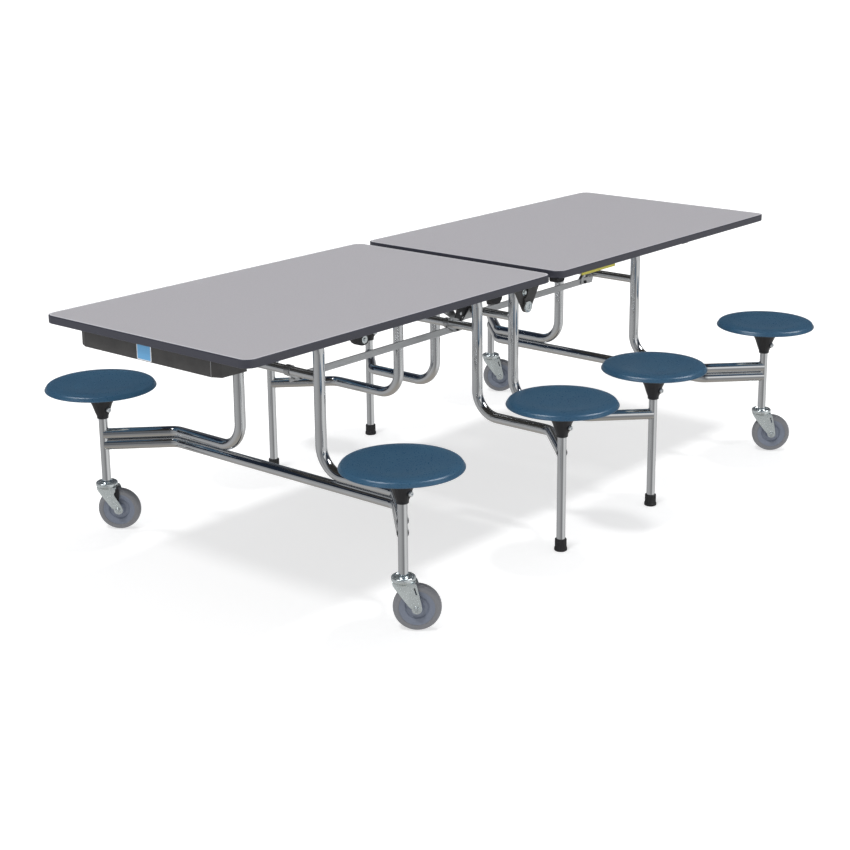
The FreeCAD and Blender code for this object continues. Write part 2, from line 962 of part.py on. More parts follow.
# ---------------------------------------------------------------- centre hinge
# Two pairs of plates; the right plates lie outside the left ones, and a bolt
# holds each pair together below the joint of the tops.
TIP = "dims.hinge_tip_radius"
PIVOT = "dims.hinge_pivot_z"
hinge_sets = {"left": [], "right": []}
hinge_bolts = []
for y_tag, y_side in (("near", -1), ("far", 1)):
    for tag, side in (("left", -1), ("right", 1)):
        base = "hinge_plate_%s_%s" % (tag, y_tag)
        if tag == "left":
            points = [
                ("-dims.hinge_half_span", UNDERSIDE),
                ("-dims.hinge_half_span", UNDERSIDE + " - 6"),
                ("-0.85 * " + TIP, PIVOT + " - 0.526 * " + TIP),
                ("0.99 * " + TIP, PIVOT + " + 0.14 * " + TIP),
                ("4", UNDERSIDE),
            ]
        else:
            points = [
                ("dims.hinge_half_span", UNDERSIDE),
                ("dims.hinge_half_span", UNDERSIDE + " - 6"),
                ("0.85 * " + TIP, PIVOT + " - 0.526 * " + TIP),
                ("-0.94 * " + TIP, PIVOT + " + 0.34 * " + TIP),
                ("-14", PIVOT + " + 26"),
                ("-6", PIVOT + " + 30"),
                ("0", PIVOT + " + 38"),
                ("2", PIVOT + " + 50"),
                ("8", PIVOT + " + 68"),
                ("8", UNDERSIDE),
            ]
        plate = padded(base + "_plate", points, "dims.hinge_plate", role="XZ_Plane", reverse=True)
        # left plates lie inside, right plates outside, 0.6 mm apart
        if y_side < 0:
            start = "-dims.hinge_y + 0.3" if tag == "left" else "-dims.hinge_y - 0.3 - dims.hinge_plate"
        else:
            start = "dims.hinge_y - 0.3 - dims.hinge_plate" if tag == "left" else "dims.hinge_y + 0.3"
        put(plate, "0", start, "0")
        tip = cylinder(base + "_tip", TIP, "dims.hinge_plate", "0", start, PIVOT, ALONG_Y)
        flange_x = "-dims.hinge_half_span" if tag == "left" else "22"
        # the flange runs from the plate towards the middle of the table
        depth = "24" if tag == "left" else "24 + 0.6 + dims.hinge_plate"
        flange_y = start if y_side < 0 else "%s - (%s)" % (start, depth)
        flange = box(
            base + "_flange",
            "dims.hinge_half_span - 22",
            "(%s) + dims.hinge_plate" % depth,
            "3",
            flange_x,
            flange_y,
            UNDERSIDE + " - 3",
        )
        bore_radius = "dims.hinge_pin_radius" if tag == "left" else "dims.hinge_pin_radius + 0.05"
        bore = cylinder(base + "_bore", bore_radius, "40", "0", start + " - 20", PIVOT, ALONG_Y)
        tools = [bore]
        if tag == "left":
            tools.append(
                cylinder(base + "_stop_hole", "4", "40", "dims.stop_x", start + " - 20", "dims.stop_z", ALONG_Y)
            )
            tool = fuse(base + "_tools", tools)
        else:
            tool = bore
        hinge_sets[tag].append(cut(base, fuse(base + "_solid", [plate, tip, flange]), tool))
    # pivot bolt: head outside the right plate, nut inside the left plate
    grip = "2 * dims.hinge_plate + 0.6"
    inner_face = "dims.hinge_y - 0.3 - dims.hinge_plate"
    outer_face = "dims.hinge_y + 0.3 + dims.hinge_plate + 0.2"

    def across(name, radius, a, b, x, z):
        """Cylinder along Y between two distances from the table's centre line."""
        start = a if y_side > 0 else "-(%s)" % b
        return cylinder(name, radius, "(%s) - (%s)" % (b, a), x, start, z, ALONG_Y)

    hinge_bolts.append(
        fuse(
            "hinge_bolt_%s" % y_tag,
            [
                across("hinge_pin_%s" % y_tag, "dims.hinge_pin_radius", inner_face + " - 8", outer_face + " + 1", "0", PIVOT),
                across("hinge_head_%s" % y_tag, "dims.hinge_head_radius", outer_face, outer_face + " + 5", "0", PIVOT),
                across("hinge_nut_%s" % y_tag, "13", inner_face + " - 8", inner_face, "0", PIVOT),
            ],
        )
    )
    hinge_bolts.append(
        fuse(
            "stop_bolt_%s" % y_tag,
            [
                across("stop_shank_%s" % y_tag, "4", inner_face + " - 5", "dims.hinge_y - 0.3 + 1", "dims.stop_x", "dims.stop_z"),
                across("stop_washer_%s" % y_tag, "9", "dims.hinge_y - 0.3", "dims.hinge_y + 1.2", "dims.stop_x", "dims.stop_z"),
                across("stop_head_%s" % y_tag, "6.5", "dims.hinge_y + 1.2", "dims.hinge_y + 5.5", "dims.stop_x", "dims.stop_z"),
                across("stop_nut_%s" % y_tag, "7", inner_face + " - 5", inner_face, "dims.stop_x", "dims.stop_z"),
            ],
        )
    )
node(group("hinge_plates_left", hinge_sets["left"]), "hinge_plates_left")
node(group("hinge_plates_right", hinge_sets["right"]), "hinge_plates_right")
node(group("hinge_bolts", hinge_bolts), "hinge_bolts")


# ---------------------------------------------------------------- link bars
# A strap runs from each collar down to the bar, which hangs under the tubes.
# Outlines in (x, z) from the tube's axis, for a bar that runs to +X.
STRAP = [
    (-13.3, 2.0),
    (-13.3, -6.0),
    (8.0, -27.0),
    (22.0, -33.3),
    (56.0, -33.3),
    (64.0, -30.0),
    (64.0, -13.3),
    (13.3, -12.0),
    (13.3, 2.0),
]
STRAP_SLOT = [(-3.0, -18.0), (-0.5, -16.5), (16.5, -27.0), (14.0, -28.5)]
# the outer right end: a loop that stands on the bar, next to the strap
LOOP = [
    (13.3, 2.0),
    (13.0, -10.0),
    (4.0, -33.3),
    (-14.0, -33.3),
    (-60.0, -30.0),
    (-60.0, -12.0),
    (-40.0, 6.0),
    (-13.3, 8.0),
]
LOOP_SLOT = [(-16.5, 0.0), (-35.0, 0.0), (-46.0, -11.0), (-20.0, -11.0)]


def link(tag, side, y):
    """Flat bar hung under two frames' cross tubes by a collar at each end."""
    sign = "-" if side < 0 else ""
    ends = [("outer", "%sdims.outer_leg_x" % sign), ("inner", "%sdims.inner_leg_x" % sign)]
    inner_end = "%s(dims.inner_leg_x - dims.link_tail)" % sign
    low, high = (ends[0][1], inner_end) if side < 0 else (inner_end, ends[0][1])
    bore = "(dims.post_od / 2 + dims.collar_clearance)"
    outer = "(%s + dims.collar_wall)" % bore
    base = "link_%s" % tag
    pieces, bores, bolts = [], [], []
    bar = box(
        base + "_flat",
        "%s - (%s)" % (high, low),
        "dims.link_thickness",
        "dims.link_height",
        low,
        "%s - dims.link_thickness / 2" % y,
        "dims.link_z - dims.link_height / 2",
    )
    pieces.append(bar)
    start = "%s - dims.collar_width / 2" % y
    strap_start = "%s - dims.strap_width / 2" % y
    for end_tag, x in ends:
        pieces.append(
            cylinder("%s_%s_collar" % (base, end_tag), outer, "dims.collar_width", x, start, "dims.cross_tube_z", ALONG_Y)
        )
        if side > 0 and end_tag == "outer":
            shape, slot = LOOP, LOOP_SLOT
        else:
            shape, slot = STRAP, STRAP_SLOT
            if side > 0:
                shape = [(-u, v) for u, v in shape]
                slot = [(-u, v) for u, v in slot]
        strap = padded(
            "%s_%s_strap" % (base, end_tag),
            [(repr(u), repr(v)) for u, v in shape],
            "dims.strap_width",
            role="XZ_Plane",
            reverse=True,
        )
        put(strap, x, strap_start, "dims.cross_tube_z")
        pieces.append(strap)
        opening = padded(
            "%s_%s_slot" % (base, end_tag),
            [(repr(u), repr(v)) for u, v in slot],
            "dims.strap_width + 4",
            role="XZ_Plane",
            reverse=True,
        )
        put(opening, x, strap_start + " - 2", "dims.cross_tube_z")
        bores.append(opening)
        bores.append(
            cylinder("%s_%s_bore" % (base, end_tag), bore, "dims.collar_width + 2", x, start + " - 1", "dims.cross_tube_z", ALONG_Y)
        )
        bolt_x = "%s %s dims.link_bolt_x" % (x, "+" if side < 0 else "-")
        near = "%s - dims.strap_width / 2" % y
        bores.append(
            cylinder("%s_%s_bolt_hole" % (base, end_tag), "3.2", "40", bolt_x, "%s - 20" % y, "dims.link_bolt_z", ALONG_Y)
        )
        bolts.append(
            fuse(
                "%s_%s_bolt" % (base, end_tag),
                [
                    cylinder("%s_%s_shank" % (base, end_tag), "3", "dims.strap_width", bolt_x, near, "dims.link_bolt_z", ALONG_Y),
                    cylinder("%s_%s_head" % (base, end_tag), "6", "4", bolt_x, near + " - 4", "dims.link_bolt_z", ALONG_Y),
                    cylinder("%s_%s_nut" % (base, end_tag), "6", "5", bolt_x, near + " + dims.strap_width", "dims.link_bolt_z", ALONG_Y),
                ],
            )
        )
    solid = fuse(base + "_solid", pieces)
    node(cut("link_bar_%s" % tag, solid, fuse(base + "_bores", bores)), "link_bar_%s" % tag)
    node(group("link_bolts_%s" % tag, bolts), "link_bolts_%s" % tag)


link("left", -1, "dims.link_left_y")
link("right", 1, "dims.link_right_y")

# bracket plate welded to frame C's cross tube, with a lug bolted behind it
bracket_blank = padded(
    "frame_c_bracket_blank",
    [("4", "540"), ("88", "541"), ("88", "572"), ("38", "572")],
    "dims.bracket_thickness",
    role="XZ_Plane",
    reverse=True,
)
put(bracket_blank, "0", "dims.bracket_y", "0")
bracket_plate = cut(
    "frame_c_bracket_plate",
    bracket_blank,
    fuse(
        "frame_c_bracket_tools",
        [
            cylinder(
                "frame_c_bracket_cope", "dims.post_od / 2", "40", "dims.inner_leg_x", "dims.bracket_y - 20", "dims.cross_tube_z", ALONG_Y
            ),
            cylinder("frame_c_bracket_hole", "4.2", "40", "52", "dims.bracket_y - 20", "563.5", ALONG_Y),
        ],
    ),
)
lug_blank = padded(
    "frame_c_lug_blank",
    [("-26", "553"), ("-6", "546"), ("60", "556"), ("60", "570"), ("38", "586"), ("-16", "578")],
    "dims.lug_thickness",
    role="XZ_Plane",
    reverse=True,
)
put(lug_blank, "0", "dims.bracket_y + dims.bracket_thickness", "0")
lug = fuse(
    "frame_c_lug_bolted",
    [
        cut(
            "frame_c_lug",
            lug_blank,
            cylinder("frame_c_lug_eye", "5", "40", "3", "dims.bracket_y - 20", "562", ALONG_Y),
        ),
        cylinder(
            "frame_c_lug_shank", "4", "dims.bracket_thickness", "52", "dims.bracket_y", "563.5", ALONG_Y
        ),
        cylinder("frame_c_lug_head", "8", "5", "52", "dims.bracket_y - 5", "563.5", ALONG_Y),
    ],
)
node(group("frame_c_bracket", [bracket_plate, lug]), "frame_c_bracket")

# ---------------------------------------------------------------- under-top fittings
# Rubber stop blocks and the lock block next to the centre joint.
# Each block is an outline in (x, drop below the top) and its extent in y.
BLOCKS = {
    "left": [
        (
            "pivot",
            [(-803, 0), (-803, 23), (-792, 37.5), (-770, 47.5), (-757, 47.5), (-748, 43), (-744, 31), (-744, 0)],
            298,
            20,
        ),
        ("stop", [(-232, 0), (-229, 24), (-216, 38), (-200, 42.5), (-186, 40), (-178, 31), (-176, 0)], 300, 18),
    ],
    "right": [
        ("lock", [(20, 0), (21, 9), (26, 14), (52, 14), (57, 9), (58, 0)], 338, 30),
        ("stop", [(770, 0), (772, 15), (778, 20), (812, 20), (818, 15), (820, 0)], 305, 26),
        ("rail", [(801, 0), (801, 6), (1059, 6), (1059, 0)], 342, 8),
    ],
}
for tag in ("left", "right"):
    solids = []
    for y_tag, y_side in (("near", -1), ("far", 1)):
        for name, points, y, width in BLOCKS[tag]:
            block = padded(
                "bumper_%s_%s_%s" % (tag, name, y_tag),
                [(str(x), "%s - %s" % (UNDERSIDE, drop)) for x, drop in points],
                str(width),
                role="XZ_Plane",
                reverse=True,
            )
            put(block, "0", str(y if y_side > 0 else -(y + width)), "0")
            solids.append(block)
    node(group("bumpers_%s" % tag, solids), "bumpers_%s" % tag)

strip = box("yellow_strip", "173", "9", "4.5", "133", "-374", UNDERSIDE + " - 4.5")
node(strip, "yellow_strip")

# Apron box under the left end.
apron_outline = [
    ("dims.apron_front_x", "-dims.apron_face_half"),
    ("dims.apron_front_x + 12", "-dims.apron_half_width + 3"),
    ("dims.apron_back_x", "-dims.apron_half_width"),
    ("dims.apron_back_x", "dims.apron_half_width"),
    ("dims.apron_front_x + 12", "dims.apron_half_width - 3"),
    ("dims.apron_front_x", "dims.apron_face_half"),
]
apron_body = padded("apron_outer", apron_outline, "dims.apron_height")
put(apron_body, "0", "0", UNDERSIDE + " - dims.apron_height")
inner_outline = [
    ("dims.apron_front_x + dims.apron_wall", "-dims.apron_face_half + 1"),
    ("dims.apron_front_x + 12 + dims.apron_wall", "-dims.apron_half_width + 3 + dims.apron_wall"),
    ("dims.apron_back_x - dims.apron_wall", "-dims.apron_half_width + dims.apron_wall"),
    ("dims.apron_back_x - dims.apron_wall", "dims.apron_half_width - dims.apron_wall"),
    ("dims.apron_front_x + 12 + dims.apron_wall", "dims.apron_half_width - 3 - dims.apron_wall"),
    ("dims.apron_front_x + dims.apron_wall", "dims.apron_face_half - 1"),
]
apron_space = padded("apron_space", inner_outline, "dims.apron_height")
put(apron_space, "0", "0", UNDERSIDE + " - dims.apron_height + dims.apron_wall")
node(cut("end_apron", apron_body, apron_space), "end_apron")

plate = box("end_plate", "1.5", "54", "43", "dims.apron_front_x - 1.5", "-22", UNDERSIDE + " - 44")
node(plate, "end_plate")

# ---------------------------------------------------------------- write
doc.recompute()
problems = []
for obj in doc.Objects:
    if "Invalid" in obj.State or "Error" in obj.State:
        problems.append("%s: %s" % (obj.Name, obj.State))
for obj in nodes:
    shape = obj.Shape
    if shape.isNull() or not shape.isValid() or not shape.Solids:
        problems.append("%s: shape" % obj.Label)
if problems:
    raise RuntimeError("; ".join(problems))
if len(nodes) > 60:
    raise RuntimeError("too many pieces")

os.makedirs("parts", exist_ok=True)
for obj in nodes:
    obj.Shape.exportStep(os.path.join("parts", obj.Label + ".step"))
    bounds = obj.Shape.BoundBox
    print(
        "%-28s %2d solids %9.1f cm3  x %8.1f %8.1f  y %8.1f %8.1f  z %7.1f %7.1f"
        % (
            obj.Label,
            len(obj.Shape.Solids),
            obj.Shape.Volume / 1000,
            bounds.XMin,
            bounds.XMax,
            bounds.YMin,
            bounds.YMax,
            bounds.ZMin,
            bounds.ZMax,
        )
    )
print(len(nodes), "pieces")
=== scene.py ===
import json
import math

import bmesh
import bpy
from mathutils import Matrix, Vector


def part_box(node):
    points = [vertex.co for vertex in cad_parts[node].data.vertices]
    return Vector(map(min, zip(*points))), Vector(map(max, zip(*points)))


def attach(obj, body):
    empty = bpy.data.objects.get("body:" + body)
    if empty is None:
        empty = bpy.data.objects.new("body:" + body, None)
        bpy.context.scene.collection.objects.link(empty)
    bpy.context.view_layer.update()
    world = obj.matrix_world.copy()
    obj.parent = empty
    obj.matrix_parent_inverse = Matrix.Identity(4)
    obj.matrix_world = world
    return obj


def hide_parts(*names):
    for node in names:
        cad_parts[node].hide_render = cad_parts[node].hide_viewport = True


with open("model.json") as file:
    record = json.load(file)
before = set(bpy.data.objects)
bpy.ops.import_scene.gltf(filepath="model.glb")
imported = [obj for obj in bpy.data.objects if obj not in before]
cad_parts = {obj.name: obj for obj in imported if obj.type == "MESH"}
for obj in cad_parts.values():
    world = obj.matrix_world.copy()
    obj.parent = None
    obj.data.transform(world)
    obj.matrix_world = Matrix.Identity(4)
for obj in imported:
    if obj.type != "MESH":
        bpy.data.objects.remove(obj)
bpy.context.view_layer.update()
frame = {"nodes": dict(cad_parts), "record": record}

NODES = frame["nodes"]
SCENE = bpy.context.scene

# ------------------------------------------------------------------ sizes (metres)
TOP_Z, UNDER_Z = 0.737, 0.715
LEG_X = {"a": -0.766, "b": -0.089, "c": 0.089, "d": 0.766}
POST_X = {"a": -0.9144, "b": -0.235, "c": 0.235, "d": 0.9144}
POST_Y = 0.5725
HALF = 0.156
ARM_Z, LOW_Z, RAIL_Z, CROSS_Z = 0.290, 0.2581, 0.697, 0.555
TUBE_R, POST_R = 0.015875, 0.0127
VIEW_TURN = math.radians(-52.477)
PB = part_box("top_panel_right")
PANEL_X = (PB[0][0] + PB[1][0]) / 2
PANEL_HALF_X = (PB[1][0] - PB[0][0]) / 2
PANEL_HALF_Y = (PB[1][1] - PB[0][1]) / 2
PANEL_R = 0.029


# ------------------------------------------------------------------ material helpers
class Mat:
    """A small builder for node materials."""

    def __init__(self, name):
        self.m = bpy.data.materials.new(name)
        self.m.use_nodes = True
        self.t = self.m.node_tree
        self.n, self.l = self.t.nodes, self.t.links
        self.p = self.n["Principled BSDF"]

    def node(self, kind, **values):
        n = self.n.new(kind)
        for k, v in values.items():
            if k in n.inputs.keys():
                n.inputs[k].default_value = v
            else:
                setattr(n, k, v)
        return n

    def link(self, a, b):
        self.l.new(a, b)

    def coords(self, scale=(1, 1, 1)):
        t = self.node("ShaderNodeTexCoord")
        mp = self.node("ShaderNodeMapping")
        mp.inputs["Scale"].default_value = scale
        self.link(t.outputs["Object"], mp.inputs["Vector"])
        return mp.outputs["Vector"]

    def noise(self, scale, detail=3.0, rough=0.5, vec=None, distortion=0.0):
        n = self.node("ShaderNodeTexNoise")
        n.inputs["Scale"].default_value = scale
        n.inputs["Detail"].default_value = detail
        n.inputs["Roughness"].default_value = rough
        n.inputs["Distortion"].default_value = distortion
        self.link(vec if vec is not None else self.coords(), n.inputs["Vector"])
        return n.outputs["Fac"]

    def ramp(self, fac, stops, interpolation="LINEAR"):
        r = self.node("ShaderNodeValToRGB")
        r.color_ramp.interpolation = interpolation
        els = r.color_ramp.elements
        while len(els) < len(stops):
            els.new(0.5)
        for e, (pos, col) in zip(els, stops):
            e.position = pos
            e.color = (*col, 1.0) if len(col) == 3 else col
        self.link(fac, r.inputs["Fac"])
        return r.outputs["Color"]

    def span(self, fac, lo, hi, a=0.0, b=1.0):
        r = self.node("ShaderNodeMapRange")
        r.inputs["From Min"].default_value = a
        r.inputs["From Max"].default_value = b
        r.inputs["To Min"].default_value = lo
        r.inputs["To Max"].default_value = hi
        self.link(fac, r.inputs["Value"])
        return r.outputs["Result"]

    def mix(self, fac, a, b, blend="MIX"):
        n = self.node("ShaderNodeMix", data_type="RGBA", blend_type=blend)
        for value, index in ((fac, 0), (a, 6), (b, 7)):
            if hasattr(value, "is_output"):
                self.link(value, n.inputs[index])
            elif index == 0:
                n.inputs[0].default_value = value
            else:
                n.inputs[index].default_value = (*value, 1.0) if len(value) == 3 else value
        return n.outputs[2]

    def math(self, op, a, b=None, c=None):
        n = self.node("ShaderNodeMath", operation=op)
        for i, v in enumerate((a, b, c)):
            if v is None:
                continue
            if hasattr(v, "is_output"):
                self.link(v, n.inputs[i])
            else:
                n.inputs[i].default_value = v
        return n.outputs[0]

    def color(self, out):
        self.link(out, self.p.inputs["Base Color"])

    def rough(self, out):
        self.link(out, self.p.inputs["Roughness"])

    def bump(self, height, strength, distance=0.001):
        b = self.node("ShaderNodeBump")
        b.inputs["Strength"].default_value = strength
        b.inputs["Distance"].default_value = distance
        self.link(height, b.inputs["Height"])
        self.link(b.outputs["Normal"], self.p.inputs["Normal"])

    def set(self, **values):
        for k, v in values.items():
            self.p.inputs[k.replace("_", " ")].default_value = v
        return self


def srgb(r, g, b):
    """8-bit display colour to linear."""
    out = []
    for c in (r, g, b):
        c = c / 255
        out.append(c / 12.92 if c <= 0.04045 else ((c + 0.055) / 1.055) ** 2.4)
    return tuple(out)


def laminate():
    m = Mat("laminate_top")
    fine = m.noise(1400, 4, 0.6)
    broad = m.noise(9, 3, 0.55)
    c = m.mix(m.span(fine, 0, 1, 0.35, 0.65), srgb(177, 175, 179), srgb(187, 185, 189))
    c = m.mix(m.span(broad, 0.0, 0.35, 0.3, 0.7), c, srgb(181, 179, 183))
    # the underside shows a brown-grey backing sheet, painted darker than its own colour as painted shade under the top
    t = m.node("ShaderNodeTexCoord")
    s = m.node("ShaderNodeSeparateXYZ")
    m.link(t.outputs["Normal"], s.inputs["Vector"])
    down = m.math("LESS_THAN", s.outputs["Z"], -0.5)
    backing_and_shade = m.mix(m.span(m.noise(60, 5, 0.6), 0, 1, 0.3, 0.7), srgb(38, 36, 34), srgb(50, 47, 44))
    # painted highlight: a thin paler line just inside the band, standing in for the light caught by the rounded top
    # edge
    o = m.node("ShaderNodeSeparateXYZ")
    m.link(t.outputs["Object"], o.inputs["Vector"])
    dx = m.math("SUBTRACT", m.math("ABSOLUTE", m.math("SUBTRACT", m.math("ABSOLUTE", o.outputs["X"]), PANEL_X)), PANEL_HALF_X - PANEL_R)
    dy = m.math("SUBTRACT", m.math("ABSOLUTE", o.outputs["Y"]), PANEL_HALF_Y - PANEL_R)
    dx, dy = m.math("MAXIMUM", dx, 0.0), m.math("MAXIMUM", dy, 0.0)
    reach = m.math("SQRT", m.math("ADD", m.math("MULTIPLY", dx, dx), m.math("MULTIPLY", dy, dy)))
    rim = m.span(reach, 0.0, 1.0, PANEL_R - 0.0062, PANEL_R - 0.0038)
    c = m.mix(rim, c, m.mix(m.span(fine, 0, 1, 0.35, 0.65), srgb(204, 204, 208), srgb(214, 214, 218)))
    m.color(m.mix(down, c, backing_and_shade))
    m.rough(m.span(m.noise(220, 3, 0.5), 0.34, 0.46, 0.3, 0.7))
    m.bump(m.noise(1800, 3, 0.5), 0.05, 0.0003)
    return m.m


def edge_rubber():
    m = Mat("edge_rubber")
    n = m.noise(700, 4, 0.6)
    c = m.mix(m.span(n, 0, 1, 0.3, 0.7), srgb(56, 57, 67), srgb(66, 67, 77))
    m.color(c)
    m.rough(m.span(m.noise(160, 3), 0.30, 0.38, 0.3, 0.7))
    m.bump(m.noise(45, 3, 0.5), 0.03, 0.0004)
    return m.m


def chrome(name="chrome", base=(0.77, 0.785, 0.80), low=0.05, high=0.13):
    m = Mat(name)
    m.set(Metallic=1.0)
    streak = m.noise(240, 4, 0.6, vec=m.coords((1, 1, 0.25)))
    c = m.mix(m.span(m.noise(14, 3), 0, 1, 0.3, 0.7), base, tuple(x * 0.94 for x in base))
    m.color(c)
    m.rough(m.span(streak, low, high, 0.3, 0.7))
    m.bump(m.noise(60, 2, 0.4), 0.02, 0.0006)
    return m.m


def zinc():
    m = Mat("zinc_plate")
    m.set(Metallic=0.6)
    v = m.node("ShaderNodeTexVoronoi", feature="F1")
    v.inputs["Scale"].default_value = 420
    m.link(m.coords(), v.inputs["Vector"])
    n = m.noise(60, 4, 0.6)
    c = m.mix(m.span(n, 0, 1, 0.3, 0.7), (0.66, 0.715, 0.715), (0.70, 0.755, 0.755))
    m.color(c)
    m.rough(m.span(v.outputs["Distance"], 0.25, 0.28, 0.0, 1.0))
    m.bump(n, 0.02, 0.0003)
    return m.m


def zinc_bright():
    m = Mat("zinc_bright")
    m.set(Metallic=0.75)
    n = m.noise(90, 4, 0.6)
    m.color(m.mix(m.span(n, 0, 1, 0.3, 0.7), (0.62, 0.68, 0.69), (0.76, 0.81, 0.82)))
    m.rough(m.span(m.noise(500, 3), 0.16, 0.26, 0.3, 0.7))
    m.bump(n, 0.05, 0.0003)
    return m.m


def screw_steel():
    m = Mat("screw_steel")
    m.set(Metallic=0.85)
    n = m.noise(420, 3, 0.6)
    m.color(m.mix(m.span(n, 0, 1, 0.3, 0.7), (0.78, 0.82, 0.84), (0.90, 0.93, 0.95)))
    m.rough(m.span(m.noise(200, 3), 0.28, 0.40, 0.3, 0.7))
    m.bump(n, 0.06, 0.0002)
    return m.m


def weld():
    m = Mat("weld_bead")
    m.set(Metallic=1.0)
    n = m.noise(700, 4, 0.6)
    m.color(m.mix(m.span(n, 0, 1, 0.3, 0.7), (0.66, 0.67, 0.68), (0.78, 0.79, 0.80)))
    m.rough(m.span(n, 0.34, 0.48, 0.3, 0.7))
    m.bump(n, 0.25, 0.0005)
    return m.m


def light_steel():
    m = Mat("link_steel")
    m.set(Metallic=1.0)
    n = m.noise(300, 4, 0.6, vec=m.coords((0.06, 1, 1)))
    c = m.mix(m.span(n, 0, 1, 0.3, 0.7), (0.48, 0.49, 0.50), (0.60, 0.61, 0.62))
    m.color(c)
    m.rough(m.span(n, 0.3, 0.45, 0.3, 0.7))
    m.bump(n, 0.1, 0.0003)
    return m.m


def seat_plastic():
    m = Mat("seat_blue")
    fine = m.noise(1100, 4, 0.6)
    broad = m.noise(11, 3, 0.55)
    c = m.mix(m.span(broad, 0, 1, 0.3, 0.7), srgb(48, 83, 110), srgb(54, 90, 116))
    c = m.mix(m.span(fine, 0.0, 0.3, 0.3, 0.7), c, srgb(44, 77, 104))
    m.color(c)
    m.rough(m.span(m.noise(260, 3), 0.26, 0.36, 0.3, 0.7))
    m.set(Specular_IOR_Level=0.7)
    m.bump(fine, 0.1, 0.0003)
    return m.m


def black_plastic():
    m = Mat("black_plastic")
    n = m.noise(900, 4, 0.6)
    m.color(m.mix(m.span(n, 0, 1, 0.3, 0.7), srgb(22, 23, 27), srgb(34, 35, 40)))
    m.rough(m.span(m.noise(200, 3), 0.3, 0.45, 0.3, 0.7))
    m.bump(n, 0.15, 0.0003)
    return m.m


def black_rubber():
    m = Mat("black_rubber")
    n = m.noise(500, 5, 0.7)
    m.color(m.mix(m.span(n, 0, 1, 0.3, 0.7), srgb(24, 24, 26), srgb(46, 46, 48)))
    m.rough(m.span(m.noise(120, 3), 0.6, 0.8, 0.3, 0.7))
    m.bump(n, 0.25, 0.0005)
    return m.m


def black_steel():
    m = Mat("black_powder_coat")
    n = m.noise(480, 3, 0.5)
    m.color(m.mix(m.span(m.noise(30, 3), 0, 1, 0.3, 0.7), srgb(61, 60, 60), srgb(71, 70, 69)))
    m.rough(m.span(m.noise(150, 3), 0.38, 0.52, 0.3, 0.7))
    m.bump(n, 0.22, 0.0005)
    return m.m


def tyre_grey():
    m = Mat("tyre_grey")
    n = m.noise(380, 5, 0.65)
    m.color(m.mix(m.span(n, 0, 1, 0.3, 0.7), srgb(119, 120, 124), srgb(131, 132, 136)))
    m.rough(m.span(m.noise(90, 3), 0.5, 0.66, 0.3, 0.7))
    m.bump(n, 0.18, 0.0004)
    return m.m


def core_grey():
    m = Mat("wheel_core_grey")
    n = m.noise(520, 4, 0.6)
    m.color(m.mix(m.span(n, 0, 1, 0.3, 0.7), srgb(117, 124, 139), srgb(131, 138, 152)))
    m.rough(m.span(m.noise(120, 3), 0.34, 0.46, 0.3, 0.7))
    m.bump(n, 0.1, 0.0003)
    return m.m


def flat_plastic(name, a, b):
    m = Mat(name)
    n = m.noise(600, 3, 0.5)
    m.color(m.mix(m.span(n, 0, 1, 0.3, 0.7), a, b))
    m.rough(m.span(m.noise(200, 3), 0.4, 0.55, 0.3, 0.7))
    m.bump(n, 0.08, 0.0002)
    return m.m


M = {
    "laminate": laminate(),
    "edge_rubber": edge_rubber(),
    "chrome": chrome(),
    "zinc": zinc(),
    "light_steel": light_steel(),
    "zinc_bright": zinc_bright(),
    "screw_steel": screw_steel(),
    "weld": weld(),
    "seat_plastic": seat_plastic(),
    "black_plastic": black_plastic(),
    "black_rubber": black_rubber(),
    "black_steel": black_steel(),
    "tyre": tyre_grey(),
    "core": core_grey(),
    "blue_plastic": flat_plastic("plate_blue", srgb(92, 158, 206), srgb(104, 168, 214)),
    "yellow_plastic": flat_plastic("strip_yellow", srgb(196, 186, 70), srgb(208, 200, 88)),
    "white_plastic": flat_plastic("plate_white", srgb(222, 226, 230), srgb(236, 238, 240)),
    # painted highlight: a paler colour standing in for the light caught by the laminate's rounded edge; no piece uses
    # it
    "painted_edge_highlight": flat_plastic("laminate_painted_edge_highlight", srgb(196, 196, 200), srgb(210, 210, 214)),
}
SLOT_MATERIAL = {
    "laminate": "laminate",
    "edge_rubber": "edge_rubber",
    "light_steel": "light_steel",
    "black_steel": "black_steel",
    "zinc": "zinc",
    "black_rubber": "black_rubber",
    "blue_plastic": "blue_plastic",
    "yellow_plastic": "yellow_plastic",
    "black_plastic": "black_plastic",
    "wheel_grey": "tyre",
    "seat_plastic": "seat_plastic",
    "chrome": "chrome",
}
for part in frame["record"]["subparts"]:
    obj = NODES[part["node"]]
    for i in range(max(1, len(obj.material_slots))):
        if not obj.material_slots:
            obj.data.materials.append(None)
        obj.material_slots[i].material = M[SLOT_MATERIAL[part["material_slot"]]]

# ------------------------------------------------------------------ mesh helpers
MM = 0.001


def catmull(points, steps=5, closed=False):
    """Smooth line through the points."""
    n = len(points)
    out = []
    last = n if closed else n - 1
    for i in range(last):
        if closed:
            p0, p1, p2, p3 = (points[(i + k) % n] for k in (-1, 0, 1, 2))
        else:
            p1, p2 = points[i], points[i + 1]
            p0 = points[i - 1] if i else tuple(2 * a - b for a, b in zip(p1, p2))
            p3 = points[i + 2] if i + 2 < n else tuple(2 * b - a for a, b in zip(p1, p2))
        for s in range(steps):
            t = s / steps
            out.append(
                tuple(
                    0.5
                    * (
                        2 * b
                        + (c - a) * t
                        + (2 * a - 5 * b + 4 * c - d) * t * t
                        + (3 * b - a - 3 * c + d) * t * t * t
                    )
                    for a, b, c, d in zip(p0, p1, p2, p3)
                )
            )
    if not closed:
        out.append(points[-1])
    return out


